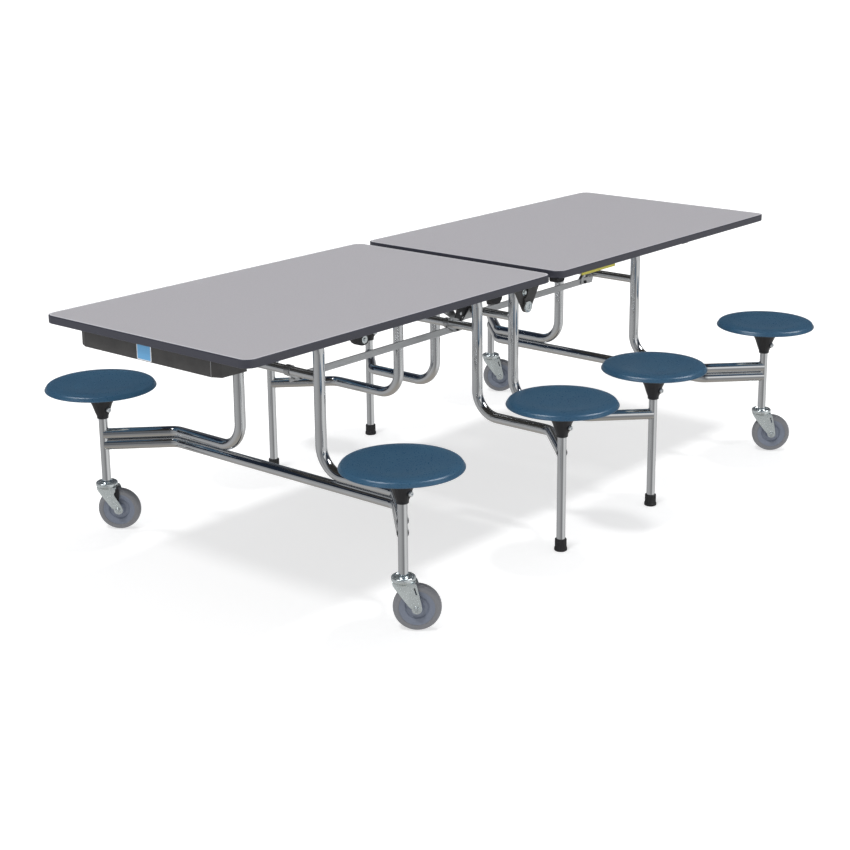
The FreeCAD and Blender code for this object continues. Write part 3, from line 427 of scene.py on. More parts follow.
def lathe(bm, profile, segments, place, index=0, shape=None):
    """Turns (radius, height) points, in millimetres, round the local Z axis."""
    rings = []
    for r, z in profile:
        if r < 1e-6:
            rings.append([bm.verts.new(place @ Vector((0, 0, z * MM)))])
            continue
        ring = []
        for k in range(segments):
            a = 2 * math.pi * k / segments
            q = r * (shape(a, r, z) if shape else 1.0) * MM
            ring.append(bm.verts.new(place @ Vector((q * math.cos(a), q * math.sin(a), z * MM))))
        rings.append(ring)
    for i in range(len(rings) - 1):
        a, b = rings[i], rings[i + 1]
        if len(a) == 1 and len(b) == 1:
            continue
        for k in range(segments):
            j = (k + 1) % segments
            if len(a) == 1:
                f = bm.faces.new((a[0], b[k], b[j]))
            elif len(b) == 1:
                f = bm.faces.new((a[k], b[0], a[j]))
            else:
                f = bm.faces.new((a[k], b[k], b[j], a[j]))
            f.material_index = index
    return rings


def ring_lathe(bm, profile, segments, place, index=0):
    """Closed profile that doesn't touch the axis."""
    rings = lathe(bm, profile, segments, place, index)
    a, b = rings[-1], rings[0]
    for k in range(segments):
        j = (k + 1) % segments
        bm.faces.new((a[k], b[k], b[j], a[j])).material_index = index


def slab(bm, outline, low, high, bevel, place, index=0):
    """Plate with chamfered rims: outline in local XZ, from y=low to y=high."""
    n = len(outline)
    area = sum(
        outline[i][0] * outline[(i + 1) % n][1] - outline[(i + 1) % n][0] * outline[i][1] for i in range(n)
    )
    pts = outline if area > 0 else outline[::-1]

    def shrunk(by):
        out = []
        for i in range(n):
            a, b, c = (Vector(pts[(i + k) % n]) for k in (-1, 0, 1))
            d1, d2 = (b - a).normalized(), (c - b).normalized()
            n1, n2 = Vector((-d1.y, d1.x)), Vector((-d2.y, d2.x))
            m = n1 + n2
            m = m / max(0.35, m.length_squared / 2)
            out.append(b + m * by)
        return out

    levels = [(low, bevel), (low + bevel, 0.0), (high - bevel, 0.0), (high, bevel)]
    rings = [
        [bm.verts.new(place @ Vector((p[0] * MM, y * MM, p[1] * MM))) for p in shrunk(b)] for y, b in levels
    ]
    for a, b in zip(rings, rings[1:]):
        for k in range(n):
            j = (k + 1) % n
            bm.faces.new((a[k], a[j], b[j], b[k])).material_index = index
    bm.faces.new(rings[0][::-1]).material_index = index
    bm.faces.new(rings[-1]).material_index = index


def bead(bm, points, radius, index=0, closed=False, waves=True):
    """Rounded, slightly lumpy weld bead along a line (metres)."""
    n = len(points)
    rings = []
    for i, p in enumerate(points):
        a = points[(i - 1) % n] if closed or i else p
        b = points[(i + 1) % n] if closed or i < n - 1 else p
        t = (b - a).normalized()
        u = t.cross(Vector((0, 0, 1)))
        if u.length < 0.2:
            u = t.cross(Vector((1, 0, 0)))
        u.normalize()
        v = t.cross(u)
        r = radius * (1.0 + (0.14 if waves and i % 2 else -0.08))
        if not closed and i in (0, n - 1):
            r *= 0.35
        rings.append(
            [
                bm.verts.new(p + (u * math.cos(w) + v * math.sin(w)) * r)
                for w in (2 * math.pi * k / 7 for k in range(7))
            ]
        )
    pairs = list(zip(rings, rings[1:])) + ([(rings[-1], rings[0])] if closed else [])
    for a, b in pairs:
        for k in range(7):
            j = (k + 1) % 7
            bm.faces.new((a[k], a[j], b[j], b[k])).material_index = index
    if not closed:
        bm.faces.new(rings[0][::-1]).material_index = index
        bm.faces.new(rings[-1]).material_index = index


def piece(name, bm, materials, body, replaces=(), angle=32):
    bmesh.ops.recalc_face_normals(bm, faces=bm.faces)
    mesh = bpy.data.meshes.new(name)
    bm.to_mesh(mesh)
    bm.free()
    for f in mesh.polygons:
        f.use_smooth = True
    mesh.set_sharp_from_angle(angle=math.radians(angle))
    for m in materials:
        mesh.materials.append(M[m])
    obj = bpy.data.objects.new(name, mesh)
    SCENE.collection.objects.link(obj)
    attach(obj, body)
    if replaces:
        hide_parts(*replaces)
    return obj


def at(x, y, z, turn=None):
    m = Matrix.Translation((x, y, z))
    return m @ turn if turn else m


AXIS_Y = Matrix.Rotation(math.radians(-90), 4, "X")  # local Z to world +Y
AXIS_NEG_Y = Matrix.Rotation(math.radians(90), 4, "X")  # local Z to world -Y
VIEW = Matrix.Rotation(VIEW_TURN, 4, "Z")
SIDES = (("near", -1), ("far", 1))

# ------------------------------------------------------------------ seats
SEAT_TOP = catmull(
    [
        (0, 444), (40, 444.2), (80, 445.1), (104, 446.4), (116, 446.9), (124, 446.95), (132, 446.6), (139, 445.9),
        (145, 445.0), (149, 443.9), (151.6, 442.3), (153.4, 440.2), (155.0, 437.6), (156.6, 435.0), (157.8, 433.0),
        (158.0, 431.5), (157.0, 430.5), (155, 430.1),
    ],
    4,
)
SEAT_PROFILE = SEAT_TOP + [(148, 429.0), (139, 427.2), (126, 424.0), (117, 421.7), (112, 421.5), (0, 421.5)]
for letter in "abcd":
    for tag, sign in SIDES:
        node = "seat_%s_%s" % (letter, tag)
        place = at(POST_X[letter], sign * POST_Y, 0)
        bm = bmesh.new()
        lathe(bm, SEAT_PROFILE, 112, place)
        piece(node + "_shell", bm, ["seat_plastic"], node, (node,), angle=40)
        bm = bmesh.new()
        lathe(
            bm,
            [(0, 421.4), (60, 421.4), (61.5, 421.0), (62, 420.2), (61.5, 419.2), (60, 418.6), (14, 418.6), (12, 418),
             (9.5, 415), (9.5, 392), (8.5, 391), (0, 391)],
            40,
            place,
        )
        piece(node + "_spindle", bm, ["zinc"], node)

# ------------------------------------------------------------------ stool hubs, set screws
FACETS = 18


def faceted(a, r, z):
    if not 347 < z < 409:
        return 1.0
    w = math.pi / FACETS
    local = (a % (2 * w)) - w
    flat = math.cos(w) / math.cos(local)
    return 1.0 + (flat - 1.0) * 0.9


HUB = [
    (12.8, 338.2), (15.6, 338.0), (16.5, 338.9), (16.9, 345.5), (17.6, 347.5), (20.0, 353), (23.4, 363), (27.6, 376.4),
    (32.4, 387), (37.0, 397), (40.6, 405), (41.8, 409.5), (42.0, 411), (42.0, 416.6), (41.0, 417.8), (39.0, 417.9),
    (36.5, 416.6), (22, 416.2), (20, 417.9), (9.7, 417.9), (9.7, 386), (12.8, 385),
]
for letter in "abcd":
    bm = bmesh.new()
    screws = bmesh.new()
    for tag, sign in SIDES:
        place = at(POST_X[letter], sign * POST_Y, 0)
        lathe(bm, HUB + [HUB[0]], 108, place, shape=faceted)
        boss = at(POST_X[letter], sign * POST_Y, 0.367, AXIS_NEG_Y)
        lathe(bm, [(0, 14), (9.6, 14), (9.6, 25.4), (8.6, 26.4), (7.3, 26.4), (7.3, 25.2), (0, 25.2)], 28, boss)
        lathe(
            screws,
            [(0, 25.0), (6.9, 25.0), (6.9, 30.6), (6.3, 31.8), (5.2, 32.3), (3.1, 32.3), (2.9, 32.0), (2.9, 29.4), (0, 29.4)],
            30,
            boss,
        )
    piece("frame_%s_hub_cones" % letter, bm, ["black_plastic"], "frame_" + letter,
          ("frame_%s_stool_hubs" % letter,), angle=14)
    piece("frame_%s_set_screws" % letter, screws, ["screw_steel"], "frame_" + letter,
          ("frame_%s_hub_screws" % letter,))

# ------------------------------------------------------------------ weld beads
for letter in "abcd":
    bm = bmesh.new()
    lx, px = LEG_X[letter], POST_X[letter]
    for tag, sign in SIDES:
        py = sign * POST_Y
        by = sign * (POST_Y - abs(px - lx))
        out = math.atan2(by - py, lx - px)
        levels = [(ARM_Z, 1), (ARM_Z, -1)] if letter in "bc" else [(ARM_Z, 1), (LOW_Z, -1)]
        for z, up in levels:
            line = []
            for k in range(27):
                f = math.radians(-78 + 156 * k / 26)
                lateral = POST_R * math.sin(f)
                line.append(
                    Vector(
                        (
                            px + (POST_R + 0.0004) * math.cos(out + f),
                            py + (POST_R + 0.0004) * math.sin(out + f),
                            z + up * (math.sqrt(TUBE_R**2 - lateral**2) + 0.0004),
                        )
                    )
                )
            bead(bm, line, 0.0010)
        ring = []
        for k in range(44):
            f = 2 * math.pi * k / 44
            dx, dz = (POST_R + 0.0003) * math.cos(f), (POST_R + 0.0003) * math.sin(f)
            ring.append(Vector((lx + dx, sign * (HALF - math.sqrt(TUBE_R**2 - dx * dx)), CROSS_Z + dz)))
        bead(bm, ring, 0.0013, closed=True)
    piece("frame_%s_weld_beads" % letter, bm, ["weld"], "frame_" + letter)

# ------------------------------------------------------------------ casters
CORE = [
    (6.1, -18.4), (12.5, -18.4), (14.5, -17.6), (15.6, -15.6), (16.8, -8.0), (19.0, -5.2), (23, -4.4), (27.5, -4.6),
    (29.6, -6.2), (31, -8.6), (33.6, -9.8), (38.0, -10.6), (41.2, -11.6), (43.6, -13.0), (46, -13.4),
]
TYRE = [
    (45.8, -14.0), (46.8, -14.9), (49, -15.35), (52.5, -15.4), (55.2, -14.9), (57.8, -13.2), (59.8, -10.4), (61.2, -7),
    (61.8, -3.6), (62, 0),
]


def there_and_back(half):
    return half + [(r, -y) for r, y in reversed(half) if y < -1e-9]


def fork_plate(bm, side, braked, place):
    """Pressed side plate with a crease, a rounded end and a turned-in leading edge."""
    crease, thick = 14.7, 2.6
    outer = 22.5
    rows = []
    steps = 26
    for i in range(steps + 1):
        z = 130.5 - (130.5 - 49.1) * (i / steps) ** 0.92
        left = (-28.0, 130.5), (-26.4, 122), (-15.0, 106), (2.3, 84), (17.0, 66.0), (22.0, 58.0)
        if braked:
            right = (28.0, 130.5), (27.5, 119), (23.0, 112), (24.4, 106), (30.5, 96), (40.5, 79), (46.4, 66.0), (47, 62)
        else:
            right = (31.2, 130.5), (35.0, 125), (40.2, 101), (46.0, 74), (46.9, 66.0), (47, 62)

        def interp(line):
            for (x0, z0), (x1, z1) in zip(line, line[1:]):
                if z1 <= z <= z0:
                    return x0 + (x1 - x0) * (z0 - z) / (z0 - z1)
            return line[-1][0]

        half = math.sqrt(max(0.0, 13.0**2 - (z - 62) ** 2))
        xl = interp(left) if z > 58.0 else 34 - half
        xr = interp(right) if z > 62.0 else 34 + half
        if z < 66:
            xl = max(interp(left), 34 - half) if z > 58.0 else 34 - half
        stops = []
        c = min(max(crease, xl), xr)
        for k in range(9):
            stops.append(xl + (c - xl) * k / 8 if c > xl else xl)
        for k in range(1, 9):
            stops.append(c + (xr - c) * k / 8)
        rows.append((z, stops))

    def depth(x, z):
        t = crease - x
        turn = 0.0
        if t > 0:
            turn = 0.21 * (t - 1.1 * (1 - math.exp(-t / 1.1)))
        head = max(0.0, (z - 122) / 8.5)
        return outer - turn - 0.8 * head * head

    layers = []
    for inset in (0.0, thick):
        grid = []
        for z, stops in rows:
            grid.append(
                [bm.verts.new(place @ Vector((x * MM, side * (depth(x, z) - inset) * MM, z * MM))) for x in stops]
            )
        layers.append(grid)
    a, b = layers
    nr, nc = len(rows), len(a[0])
    for g, flip in ((a, False), (b, True)):
        for i in range(nr - 1):
            for k in range(nc - 1):
                q = (g[i][k], g[i][k + 1], g[i + 1][k + 1], g[i + 1][k])
                bm.faces.new(q[::-1] if flip else q)
    for i in range(nr - 1):
        bm.faces.new((a[i][0], a[i + 1][0], b[i + 1][0], b[i][0]))
        bm.faces.new((a[i][-1], b[i][-1], b[i + 1][-1], a[i + 1][-1]))
    for k in range(nc - 1):
        bm.faces.new((a[0][k], b[0][k], b[0][k + 1], a[0][k + 1]))
        bm.faces.new((a[-1][k], a[-1][k + 1], b[-1][k + 1], b[-1][k]))


def cut_slots(obj, place):
    """Elongated holes through both side plates."""
    bm = bmesh.new()
    pts = []
    for cx, cz, a0 in ((28.6, 117.5, 0.0), (33.2, 103.0, math.pi)):
        for k in range(9):
            a = a0 + math.pi * k / 8 - 0.3
            pts.append((cx + 2.3 * math.cos(a), cz + 2.3 * math.sin(a)))
    slab(bm, pts, -30, 30, 0.1, place)
    bmesh.ops.recalc_face_normals(bm, faces=bm.faces)
    mesh = bpy.data.meshes.new("slot_tool")
    bm.to_mesh(mesh)
    bm.free()
    tool = bpy.data.objects.new("slot_tool", mesh)
    SCENE.collection.objects.link(tool)
    mod = obj.modifiers.new("slots", "BOOLEAN")
    mod.operation = "DIFFERENCE"
    mod.solver = "EXACT"
    mod.object = tool
    bpy.context.view_layer.update()
    done = bpy.data.meshes.new_from_object(obj.evaluated_get(bpy.context.evaluated_depsgraph_get()))
    obj.modifiers.remove(mod)
    old = obj.data
    obj.data = done
    name = old.name
    bpy.data.meshes.remove(old)
    done.name = name
    bpy.data.objects.remove(tool)
    bpy.data.meshes.remove(mesh)


HEAD = [
    (0, 131.2), (27.0, 131.2), (29.6, 132.0), (30.6, 133.4), (31.2, 136.0), (31.4, 139.4), (31.3, 141.4), (30.4, 143.2),
    (28.8, 144.5), (27.0, 144.9), (25.4, 144.3), (23.8, 142.6), (21.6, 140.9), (18.6, 140.4), (15.4, 140.9), (14.2, 142.2),
    (13.8, 144.4), (12.9, 145.2), (11.0, 145.2), (11.0, 186.0), (0, 186.0),
]
for letter in "ad":
    for tag, sign in SIDES:
        base = "caster_%s_%s" % (letter, tag)
        braked = letter == "a" and tag == "far"
        place = at(POST_X[letter], sign * POST_Y, 0) @ VIEW
        bm = bmesh.new()
        for side in (-1, 1):
            fork_plate(bm, side, braked and side < 0, place)
        plates = piece(base + "_plates", bm, ["zinc"], base + "_fork", (base + "_fork",), angle=24)
        if not braked:
            cut_slots(plates, place)
            for f in plates.data.polygons:
                f.use_smooth = True
            plates.data.set_sharp_from_angle(angle=math.radians(24))
        bm = bmesh.new()
        lathe(bm, HEAD, 64, place)
        slab(
            bm,
            [(-27.5, 13.6), (-28.6, 8), (-28.9, 0), (-28.6, -8), (-27.5, -13.6), (14.7, -22.2), (30.5, -22.2), (31.0, 0), (30.5, 22.2), (14.7, 22.2)],
            -131.4,
            -127.6,
            0.5,
            place @ Matrix(((1, 0, 0, 0), (0, 0, 1, 0), (0, -1, 0, 0), (0, 0, 0, 1))),
        )
        # ball race under the head
        ring_lathe(bm, [(24.5, 127.8), (23.5, 124.6), (20.5, 123.4), (17.5, 124.6), (16.5, 127.8)], 48, place)
        axle = place @ Matrix.Translation((0.034, 0, 0.062))
        for turn in (AXIS_Y, AXIS_NEG_Y):
            lathe(
                bm,
                [(0, 18.8), (5.6, 18.8), (5.6, 22.4), (9.0, 22.4), (9.0, 23.4), (8.5, 23.9), (6.9, 24.0), (6.7, 25.6), (5.9, 26.3),
                 (2.4, 26.4), (1.9, 26.0), (1.7, 24.4), (0, 24.4)],
                28,
                axle @ turn,
            )
        piece(base + "_head", bm, ["zinc_bright"], base + "_fork")
        bm = bmesh.new()
        profile = there_and_back(CORE)
        ring_lathe(bm, profile, 72, axle @ AXIS_Y)
        piece(base + "_core", bm, ["core"], base + "_wheel", (base + "_wheel",), angle=30)
        bm = bmesh.new()
        ring_lathe(bm, there_and_back(TYRE), 96, axle @ AXIS_Y)
        piece(base + "_tyre", bm, ["tyre"], base + "_wheel", angle=30)
        if braked:
            bm = bmesh.new()
            blade = catmull(
                [(31.8, 138.2), (34.2, 138.6), (36.6, 128), (38.0, 115), (37.7, 103), (34.4, 85.4), (29, 96.4), (23, 104),
                 (12.5, 104.4), (12.5, 113.6), (26.6, 114.8), (30.8, 125)],
                4,
                closed=True,
            )
            slab(bm, blade, -19.1, -16.7, 0.5, place)
            slab(
                bm,
                [(15 + 2.9 * math.cos(a), 109 + 2.9 * math.sin(a)) for a in (2 * math.pi * k / 18 for k in range(18))],
                -22.2,
                -18.9,
                0.3,
                place,
            )
            piece("brake_lever_blade", bm, ["black_plastic"], "brake_lever", ("brake_lever",))

# ------------------------------------------------------------------ feet
for letter in "bc":
    bm = bmesh.new()
    for tag, sign in SIDES:
        lathe(
            bm,
            [(0, 0.05), (17.4, 0.05), (18.4, 0.9), (18.7, 2.4), (18.7, 7.4), (18.1, 9.0), (17.2, 11.2), (16.9, 13.4),
             (16.9, 32.6), (16.4, 34.2), (15.2, 34.9), (12.75, 34.9), (12.75, 5.1), (0, 5.1)],
            48,
            at(POST_X[letter], sign * POST_Y, 0),
        )
    piece("frame_%s_rubber_feet" % letter, bm, ["black_rubber"], "frame_" + letter, ("frame_%s_feet" % letter,))

# ------------------------------------------------------------------ hinge bolts
bm = bmesh.new()
for tag, sign in SIDES:
    turn = AXIS_Y if sign > 0 else AXIS_NEG_Y
    head = Matrix.Translation((0, sign * 0.271, 0.622)) @ turn
    lathe(
        bm,
        [(0, -13.2), (7.5, -13.2), (7.9, -12.8), (7.9, 5.3), (8.0, 5.5), (16.6, 5.5), (17.3, 6.2), (17.3, 8.4), (16.2, 9.6),
         (12.5, 10.2), (5.6, 10.4), (5.0, 10.1), (4.4, 8.4), (0, 8.0)],
        44,
        head,
    )
    nut = [(13 * math.cos(math.pi * k / 3), 13 * math.sin(math.pi * k / 3)) for k in range(6)]
    nut_place = Matrix.Translation((0, sign * 0.271, 0.622))
    if sign > 0:
        slab(bm, nut, -13.0, -5.4, 0.8, nut_place)
    else:
        slab(bm, nut, 5.4, 13.0, 0.8, nut_place)
    stop = Matrix.Translation((-0.011, sign * 0.271, 0.666)) @ turn
    lathe(bm, [(0, -0.25), (8.6, -0.25), (8.9, 0.1), (8.9, 1.0), (8.4, 1.3), (0, 1.3)], 30, stop)
    lathe(bm, [(0, 1.2), (6.5, 1.2), (6.5, 4.6), (5.9, 5.3), (4.6, 5.5), (0, 5.5)], 6, stop)
    lathe(bm, [(0, -10.2), (3.9, -10.2), (3.9, -0.2), (0, -0.2)], 20, stop)
piece("hinge_bolt_heads", bm, ["zinc_bright"], "top_left", ("hinge_bolts",))

# ------------------------------------------------------------------ link bolts, centre bracket
for tag, y, spots in (("left", -45, (-729, -52)), ("right", 27, (729, 52))):
    bm = bmesh.new()
    for x in spots:
        place = Matrix.Translation((x * MM, y * MM, 0.529))
        lathe(bm, [(0, 5.9), (6.0, 5.9), (6.0, 8.9), (5.2, 9.8), (0, 9.9)], 6, place @ AXIS_NEG_Y)
        lathe(bm, [(0, 5.9), (6.0, 5.9), (6.0, 10.1), (5.2, 10.8), (0, 10.9)], 6, place @ AXIS_Y)
        lathe(bm, [(0, -5.9), (3.0, -5.9), (3.0, 5.9), (0, 5.9)], 20, place @ AXIS_Y)
    piece("link_%s_hex_bolts" % tag, bm, ["black_plastic"], "link_" + tag, ("link_bolts_" + tag,))

bm = bmesh.new()
slab(bm, [(5, 540.4), (76.4, 541.4), (76.4, 571.4), (38.4, 571.4)], -24.4, -19.6, 0.4, Matrix.Identity(4))
piece("frame_c_bracket_plate", bm, ["light_steel"], "frame_c", ("frame_c_bracket",))
bm = bmesh.new()
lug = [(-25, 553.4), (-6, 546.8), (59, 556.4), (59, 569.6), (38, 585.2), (-15, 577.4)]
slab(bm, lug, -19.4, -16.6, 0.3, Matrix.Identity(4))
lathe(bm, [(0, -0.1), (7.8, -0.1), (8.0, 0.3), (8.0, 3.6), (6.8, 4.9), (0, 5.0)], 6, Matrix.Translation((0.052, -0.0245, 0.5635)) @ AXIS_NEG_Y)
piece("frame_c_lug", bm, ["black_plastic"], "frame_c")
bm = bmesh.new()
lathe(bm, [(0, 0.02), (4.6, 0.02), (4.9, 0.3), (4.9, 0.6), (4.3, 0.85), (0, 0.85)], 24, Matrix.Translation((0.003, -0.0195, 0.562)) @ AXIS_NEG_Y)
piece("frame_c_lug_rivet", bm, ["screw_steel"], "frame_c")

# ------------------------------------------------------------------ rubber blocks
BLOCKS = {
    "left": [
        ([(-803, 715), (-803, 692), (-797, 684), (-792, 678), (-782, 671.6), (-770, 668), (-763, 667.6), (-756, 668.2),
          (-749, 672), (-745, 678.5), (-744, 686), (-744, 715)], 298, 318),
        ([(-232, 715), (-231, 700), (-229, 690.6), (-224, 683), (-216, 677), (-208, 673.6), (-200, 672.6), (-192, 673.6),
          (-186, 676), (-180.6, 681), (-177.6, 687), (-176, 696), (-176, 715)], 300, 318),
    ],
    "right": [
        ([(20, 715), (20.6, 707), (23, 702.8), (27, 701.1), (51, 701.1), (55, 702.8), (57.4, 707), (58, 715)], 338, 368),
        ([(770, 715), (771, 701.6), (774, 697), (779, 695.1), (811, 695.1), (816, 697), (819, 701.6), (820, 715)], 305, 331),
        ([(801, 715), (801, 710.4), (802.4, 709.1), (1057.6, 709.1), (1059, 710.4), (1059, 715)], 342, 350),
    ],
}
for tag in ("left", "right"):
    bm = bmesh.new()
    for outline, low, high in BLOCKS[tag]:
        for sign in (-1, 1):
            a, b = sorted((sign * low, sign * high))
            slab(bm, outline, a, b, 1.2 if high - low > 10 else 0.5, Matrix.Identity(4))
    piece("top_%s_rubber_blocks" % tag, bm, ["black_rubber"], "top_" + tag, ("bumpers_" + tag,))
bm = bmesh.new()
for sign in (-1, 1):
    turn = AXIS_Y if sign > 0 else AXIS_NEG_Y
    place = Matrix.Translation((-0.762, sign * 0.318, 0.683)) @ turn
    lathe(bm, [(0, -1.0), (10.2, -1.0), (10.6, -0.6), (10.6, 0.5), (10.1, 0.9), (0, 0.9)], 32, place)
    lathe(bm, [(0, 0.8), (4.6, 0.8), (4.6, 3.2), (3.8, 4.0), (0, 4.2)], 20, place)
piece("top_left_block_bolts", bm, ["zinc_bright"], "top_left")

bm = bmesh.new()
slab(bm, [(133, 707.2), (133, 714.9), (306, 714.9), (306, 707.2)], -379.4, -374.2, 0.5, Matrix.Identity(4))
piece("top_right_yellow_strip", bm, ["yellow_plastic"], "top_right", ("yellow_strip",))

# ------------------------------------------------------------------ painted apron corner highlight strip, and end plate
bm = bmesh.new()
# painted highlight: a light steel strip on the near corner only, standing in for the highlight on the apron's bent
# corner
for sign in (-1,):
    slab(
        bm,
        [(-1221.2, 670.4), (-1221.2, 714.6), (-1218.6, 714.6), (-1218.6, 670.4)],
        *sorted((sign * 235.0, sign * 237.2)),
        0.4,
        Matrix.Identity(4),
    )
piece("apron_corner_highlight_strip", bm, ["light_steel"], "top_left")
TURN_X = Matrix(((0, -1, 0, 0), (1, 0, 0, 0), (0, 0, 1, 0), (0, 0, 0, 1)))


def card(half_w, z0, z1, r, c=5):
    """Rounded rectangle centred on y=5."""
    pts = []
    for (cy, cz, a0) in ((c + half_w - r, z1 - r, 0), (c - half_w + r, z1 - r, 90), (c - half_w + r, z0 + r, 180), (c + half_w - r, z0 + r, 270)):
        for k in range(7):
            a = math.radians(a0 + 15 * k)
            pts.append((cy + r * math.cos(a), cz + r * math.sin(a)))
    return pts


bm = bmesh.new()
slab(bm, card(26.9, 671.1, 713.9, 3.0), 1221.05, 1222.0, 0.15, TURN_X)
piece("end_plate_border", bm, ["white_plastic"], "top_left", ("end_plate",))
bm = bmesh.new()
slab(bm, card(24.2, 673.6, 711.4, 2.0), 1221.6, 1222.4, 0.1, TURN_X)
piece("end_plate_face", bm, ["blue_plastic"], "top_left")

# ------------------------------------------------------------------ stage, light, camera
YAW = 0.6755616

floor_mat = Mat("floor_white")
floor_mat.color(
    floor_mat.mix(floor_mat.span(floor_mat.noise(2.0, 2), 0, 1, 0.3, 0.7), (0.635, 0.635, 0.635), (0.645, 0.645, 0.645))
)
floor_mat.set(Roughness=1.0, Specular_IOR_Level=0.0, Emission_Color=(1, 1, 1, 1), Emission_Strength=0.585)
# reflections look past the sheet, into the studio's own lower half
path = floor_mat.node("ShaderNodeLightPath")
clear = floor_mat.node("ShaderNodeBsdfTransparent")
blend = floor_mat.node("ShaderNodeMixShader")
output = floor_mat.n["Material Output"]
floor_mat.link(path.outputs["Is Glossy Ray"], blend.inputs[0])
floor_mat.link(floor_mat.p.outputs[0], blend.inputs[1])
floor_mat.link(clear.outputs[0], blend.inputs[2])
floor_mat.link(blend.outputs[0], output.inputs["Surface"])
bm = bmesh.new()
bmesh.ops.create_grid(bm, x_segments=2, y_segments=2, size=60)
mesh = bpy.data.meshes.new("floor")
bm.to_mesh(mesh)
bm.free()
floor = bpy.data.objects.new("floor", mesh)
floor.location = (0, 0, -0.0005)
mesh.materials.append(floor_mat.m)
SCENE.collection.objects.link(floor)

world = bpy.data.worlds.new("studio")
SCENE.world = world
world.use_nodes = True
wt = world.node_tree
bg = wt.nodes["Background"]


def wnode(kind, **values):
    n = wt.nodes.new(kind)
    for k, v in values.items():
        setattr(n, k, v)
    return n


def wmath(op, a, b=None, c=None):
    n = wnode("ShaderNodeMath", operation=op)
    for i, v in enumerate((a, b, c)):
        if v is None:
            continue
        if hasattr(v, "is_output"):
            wt.links.new(v, n.inputs[i])
        else:
            n.inputs[i].default_value = v
    return n.outputs[0]


def wramp(fac, stops):
    r = wnode("ShaderNodeValToRGB")
    els = r.color_ramp.elements
    while len(els) < len(stops):
        els.new(0.5)
    for e, (p, v) in zip(els, stops):
        e.position = p
        c = v if isinstance(v, tuple) else (v, v, v)
        e.color = (*c, 1)
    wt.links.new(fac, r.inputs["Fac"])
    return r.outputs["Color"]


def wmix(fac, a, b):
    n = wnode("ShaderNodeMix", data_type="RGBA")
    for v, i in ((fac, 0), (a, 6), (b, 7)):
        if hasattr(v, "is_output"):
            wt.links.new(v, n.inputs[i])
        elif i == 0:
            n.inputs[0].default_value = v
        else:
            n.inputs[i].default_value = (*v, 1)
    return n.outputs[2]


geo = wnode("ShaderNodeTexCoord")
sep = wnode("ShaderNodeSeparateXYZ")
wt.links.new(geo.outputs["Generated"], sep.inputs["Vector"])
wx, wy, wz = sep.outputs["X"], sep.outputs["Y"], sep.outputs["Z"]
# lower half, by compass direction (0 and 1 are the same direction)
turn = wmath("FRACT", wmath("DIVIDE", wmath("ARCTAN2", wy, wx), 2 * math.pi))
lower = wramp(
    turn,
    [
        (0.00, (0.50, 0.50, 0.50)),
        (0.11, (0.42, 0.42, 0.42)),
        (0.20, (0.38, 0.38, 0.38)),
        (0.33, (0.42, 0.42, 0.425)),
        (0.46, (0.41, 0.41, 0.41)),
        (0.55, (0.35, 0.35, 0.35)),
        (0.60, (0.28, 0.28, 0.28)),
        (0.645, (0.20, 0.20, 0.205)),
        (0.69, (0.34, 0.34, 0.34)),
        (0.735, (0.66, 0.66, 0.655)),
        (0.82, (0.70, 0.70, 0.695)),
        (0.90, (0.56, 0.56, 0.555)),
        (1.00, (0.50, 0.50, 0.50)),
    ],
)
down = wnode("ShaderNodeMapRange", interpolation_type="SMOOTHSTEP")
wt.links.new(wz, down.inputs["Value"])
down.inputs["From Min"].default_value = -0.45
down.inputs["From Max"].default_value = -0.95
lower = wmix(down.outputs["Result"], lower, (0.36, 0.335, 0.30))
# upper half, along the arc from the front horizon over the zenith to the back
side = wmath("MULTIPLY", wmath("ADD", wmath("MULTIPLY", wx, math.cos(YAW)), wmath("MULTIPLY", wy, math.sin(YAW))), -1.0)
arc = wmath("DIVIDE", wmath("ARCTAN2", wz, side), math.pi)
upper = wramp(
    arc,
    [
        (0.00, (0.60, 0.60, 0.60)),
        (0.07, (0.92, 0.92, 0.92)),
        (0.13, (1.02, 1.02, 1.01)),
        (0.18, (0.80, 0.80, 0.80)),
        (0.22, (0.30, 0.31, 0.33)),
        (0.26, (0.07, 0.08, 0.10)),
        (0.32, (0.020, 0.028, 0.045)),
        (0.70, (0.018, 0.024, 0.038)),
        (0.77, (0.15, 0.155, 0.165)),
        (0.83, (0.15, 0.155, 0.165)),
        (0.88, (0.05, 0.055, 0.07)),
        (0.94, (0.06, 0.065, 0.08)),
        (1.00, (0.35, 0.35, 0.36)),
    ],
)
# the left of the studio is dimmer than the right
share = wramp(turn, [(0.0, 0.75), (0.25, 0.5), (0.40, 0.42), (0.56, 0.30), (0.615, 0.12), (0.655, 0.85), (0.72, 1.0), (0.92, 0.9), (1.0, 0.75)])
upper = wmix(share, (0.012, 0.018, 0.03), upper)


def softbox(azimuth, elevation, inner, outer, level):
    """Soft round lamp that shows only in reflections."""
    az, el = math.radians(azimuth), math.radians(elevation)
    d = (math.cos(az) * math.cos(el), math.sin(az) * math.cos(el), math.sin(el))
    dot = wmath("ADD", wmath("MULTIPLY", wx, d[0]), wmath("ADD", wmath("MULTIPLY", wy, d[1]), wmath("MULTIPLY", wz, d[2])))
    r = wnode("ShaderNodeMapRange", interpolation_type="SMOOTHSTEP")
    wt.links.new(dot, r.inputs["Value"])
    r.inputs["From Min"].default_value = math.cos(math.radians(outer))
    r.inputs["From Max"].default_value = math.cos(math.radians(inner))
    r.inputs["To Max"].default_value = level
    return r.outputs["Result"]


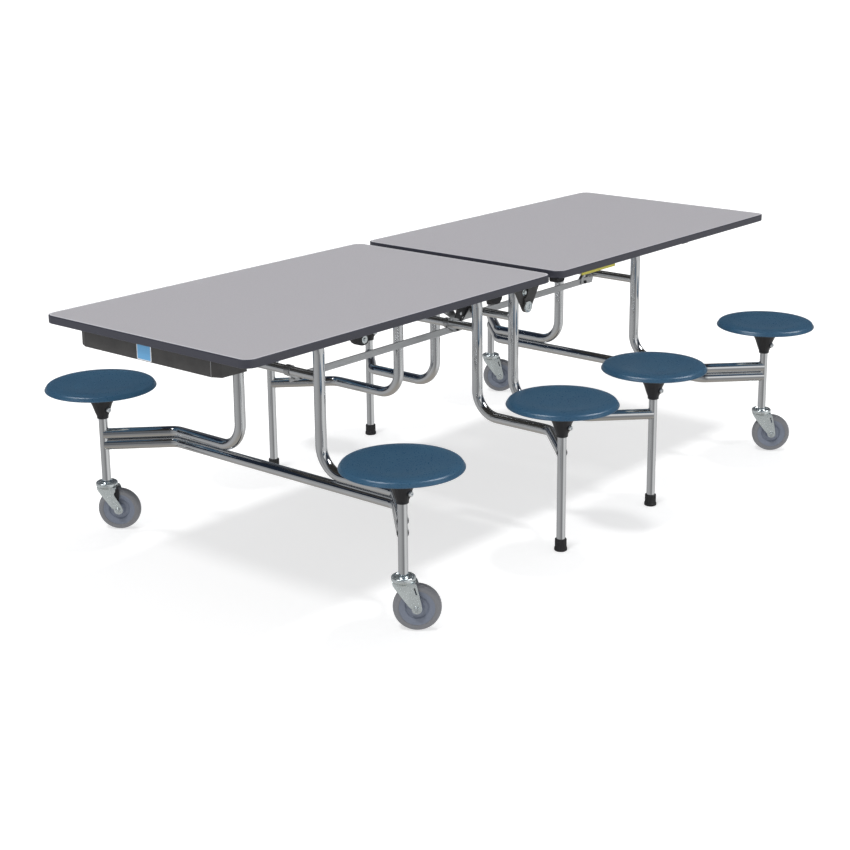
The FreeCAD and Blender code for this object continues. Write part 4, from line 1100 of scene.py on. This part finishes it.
boxes = wmath("ADD", softbox(154, 60, 8, 18, 8.0), softbox(313, 52, 8, 18, 8.0))
rim = wnode("ShaderNodeMapRange", interpolation_type="SMOOTHSTEP")
wt.links.new(wz, rim.inputs["Value"])
rim.inputs["From Min"].default_value = -0.26
rim.inputs["From Max"].default_value = 0.02
studio = wmix(rim.outputs["Result"], lower, upper)
glow = wnode("ShaderNodeMix", data_type="RGBA", blend_type="ADD")
glow.inputs[0].default_value = 1.0
wt.links.new(studio, glow.inputs[6])
wt.links.new(boxes, glow.inputs[7])
studio = glow.outputs[2]
lp = wnode("ShaderNodeLightPath")
dome = wmix(lp.outputs["Is Glossy Ray"], (0.52, 0.52, 0.525), studio)
seen = wmix(lp.outputs["Is Camera Ray"], dome, (1, 1, 1))
wt.links.new(seen, bg.inputs["Color"])
bg.inputs["Strength"].default_value = 1.0


def far_light(name, lean, strength, angle):
    """Distant overhead light, leaning along the table's length."""
    data = bpy.data.lights.new(name, "SUN")
    data.energy = strength
    data.angle = math.radians(angle)
    obj = bpy.data.objects.new(name, data)
    obj.rotation_mode = "QUATERNION"
    t = math.radians(lean)
    obj.rotation_quaternion = Vector((math.sin(t), 0.02, -math.cos(t))).to_track_quat("-Z", "Y")
    SCENE.collection.objects.link(obj)
    obj.visible_glossy = False
    return obj


# two overhead lights, leaning both ways along the table
for i, (lean, share_of_light) in enumerate(((-12, 1.02), (27, 0.82))):
    far_light("overhead_light_%d" % i, lean, share_of_light / math.cos(math.radians(lean)), 9)

SCENE.view_settings.view_transform = "Standard"
SCENE.view_settings.look = "None"
SCENE.view_settings.exposure = 0.0

cam_data = bpy.data.cameras.new("camera")
cam = bpy.data.objects.new("camera", cam_data)
SCENE.collection.objects.link(cam)
cam_data.sensor_width = 36.0
cam_data.lens = 1641.3366982 * 36.0 / 850.0
cam_data.shift_x, cam_data.shift_y = -0.05, -0.08
cam_data.clip_start, cam_data.clip_end = 0.1, 100
yaw, pitch, roll = YAW, -0.2636734, -0.0027853
fwd = Vector((math.cos(yaw) * math.cos(pitch), math.sin(yaw) * math.cos(pitch), math.sin(pitch)))
right = Vector((math.sin(yaw), -math.cos(yaw), 0.0))
up = right.cross(fwd)
r2 = right * math.cos(roll) + up * math.sin(roll)
u2 = up * math.cos(roll) - right * math.sin(roll)
cam.matrix_world = Matrix(
    (
        (r2.x, u2.x, -fwd.x, -3.7973859),
        (r2.y, u2.y, -fwd.y, -3.0904992),
        (r2.z, u2.z, -fwd.z, 1.7431503),
        (0, 0, 0, 1),
    )
)
SCENE.camera = cam
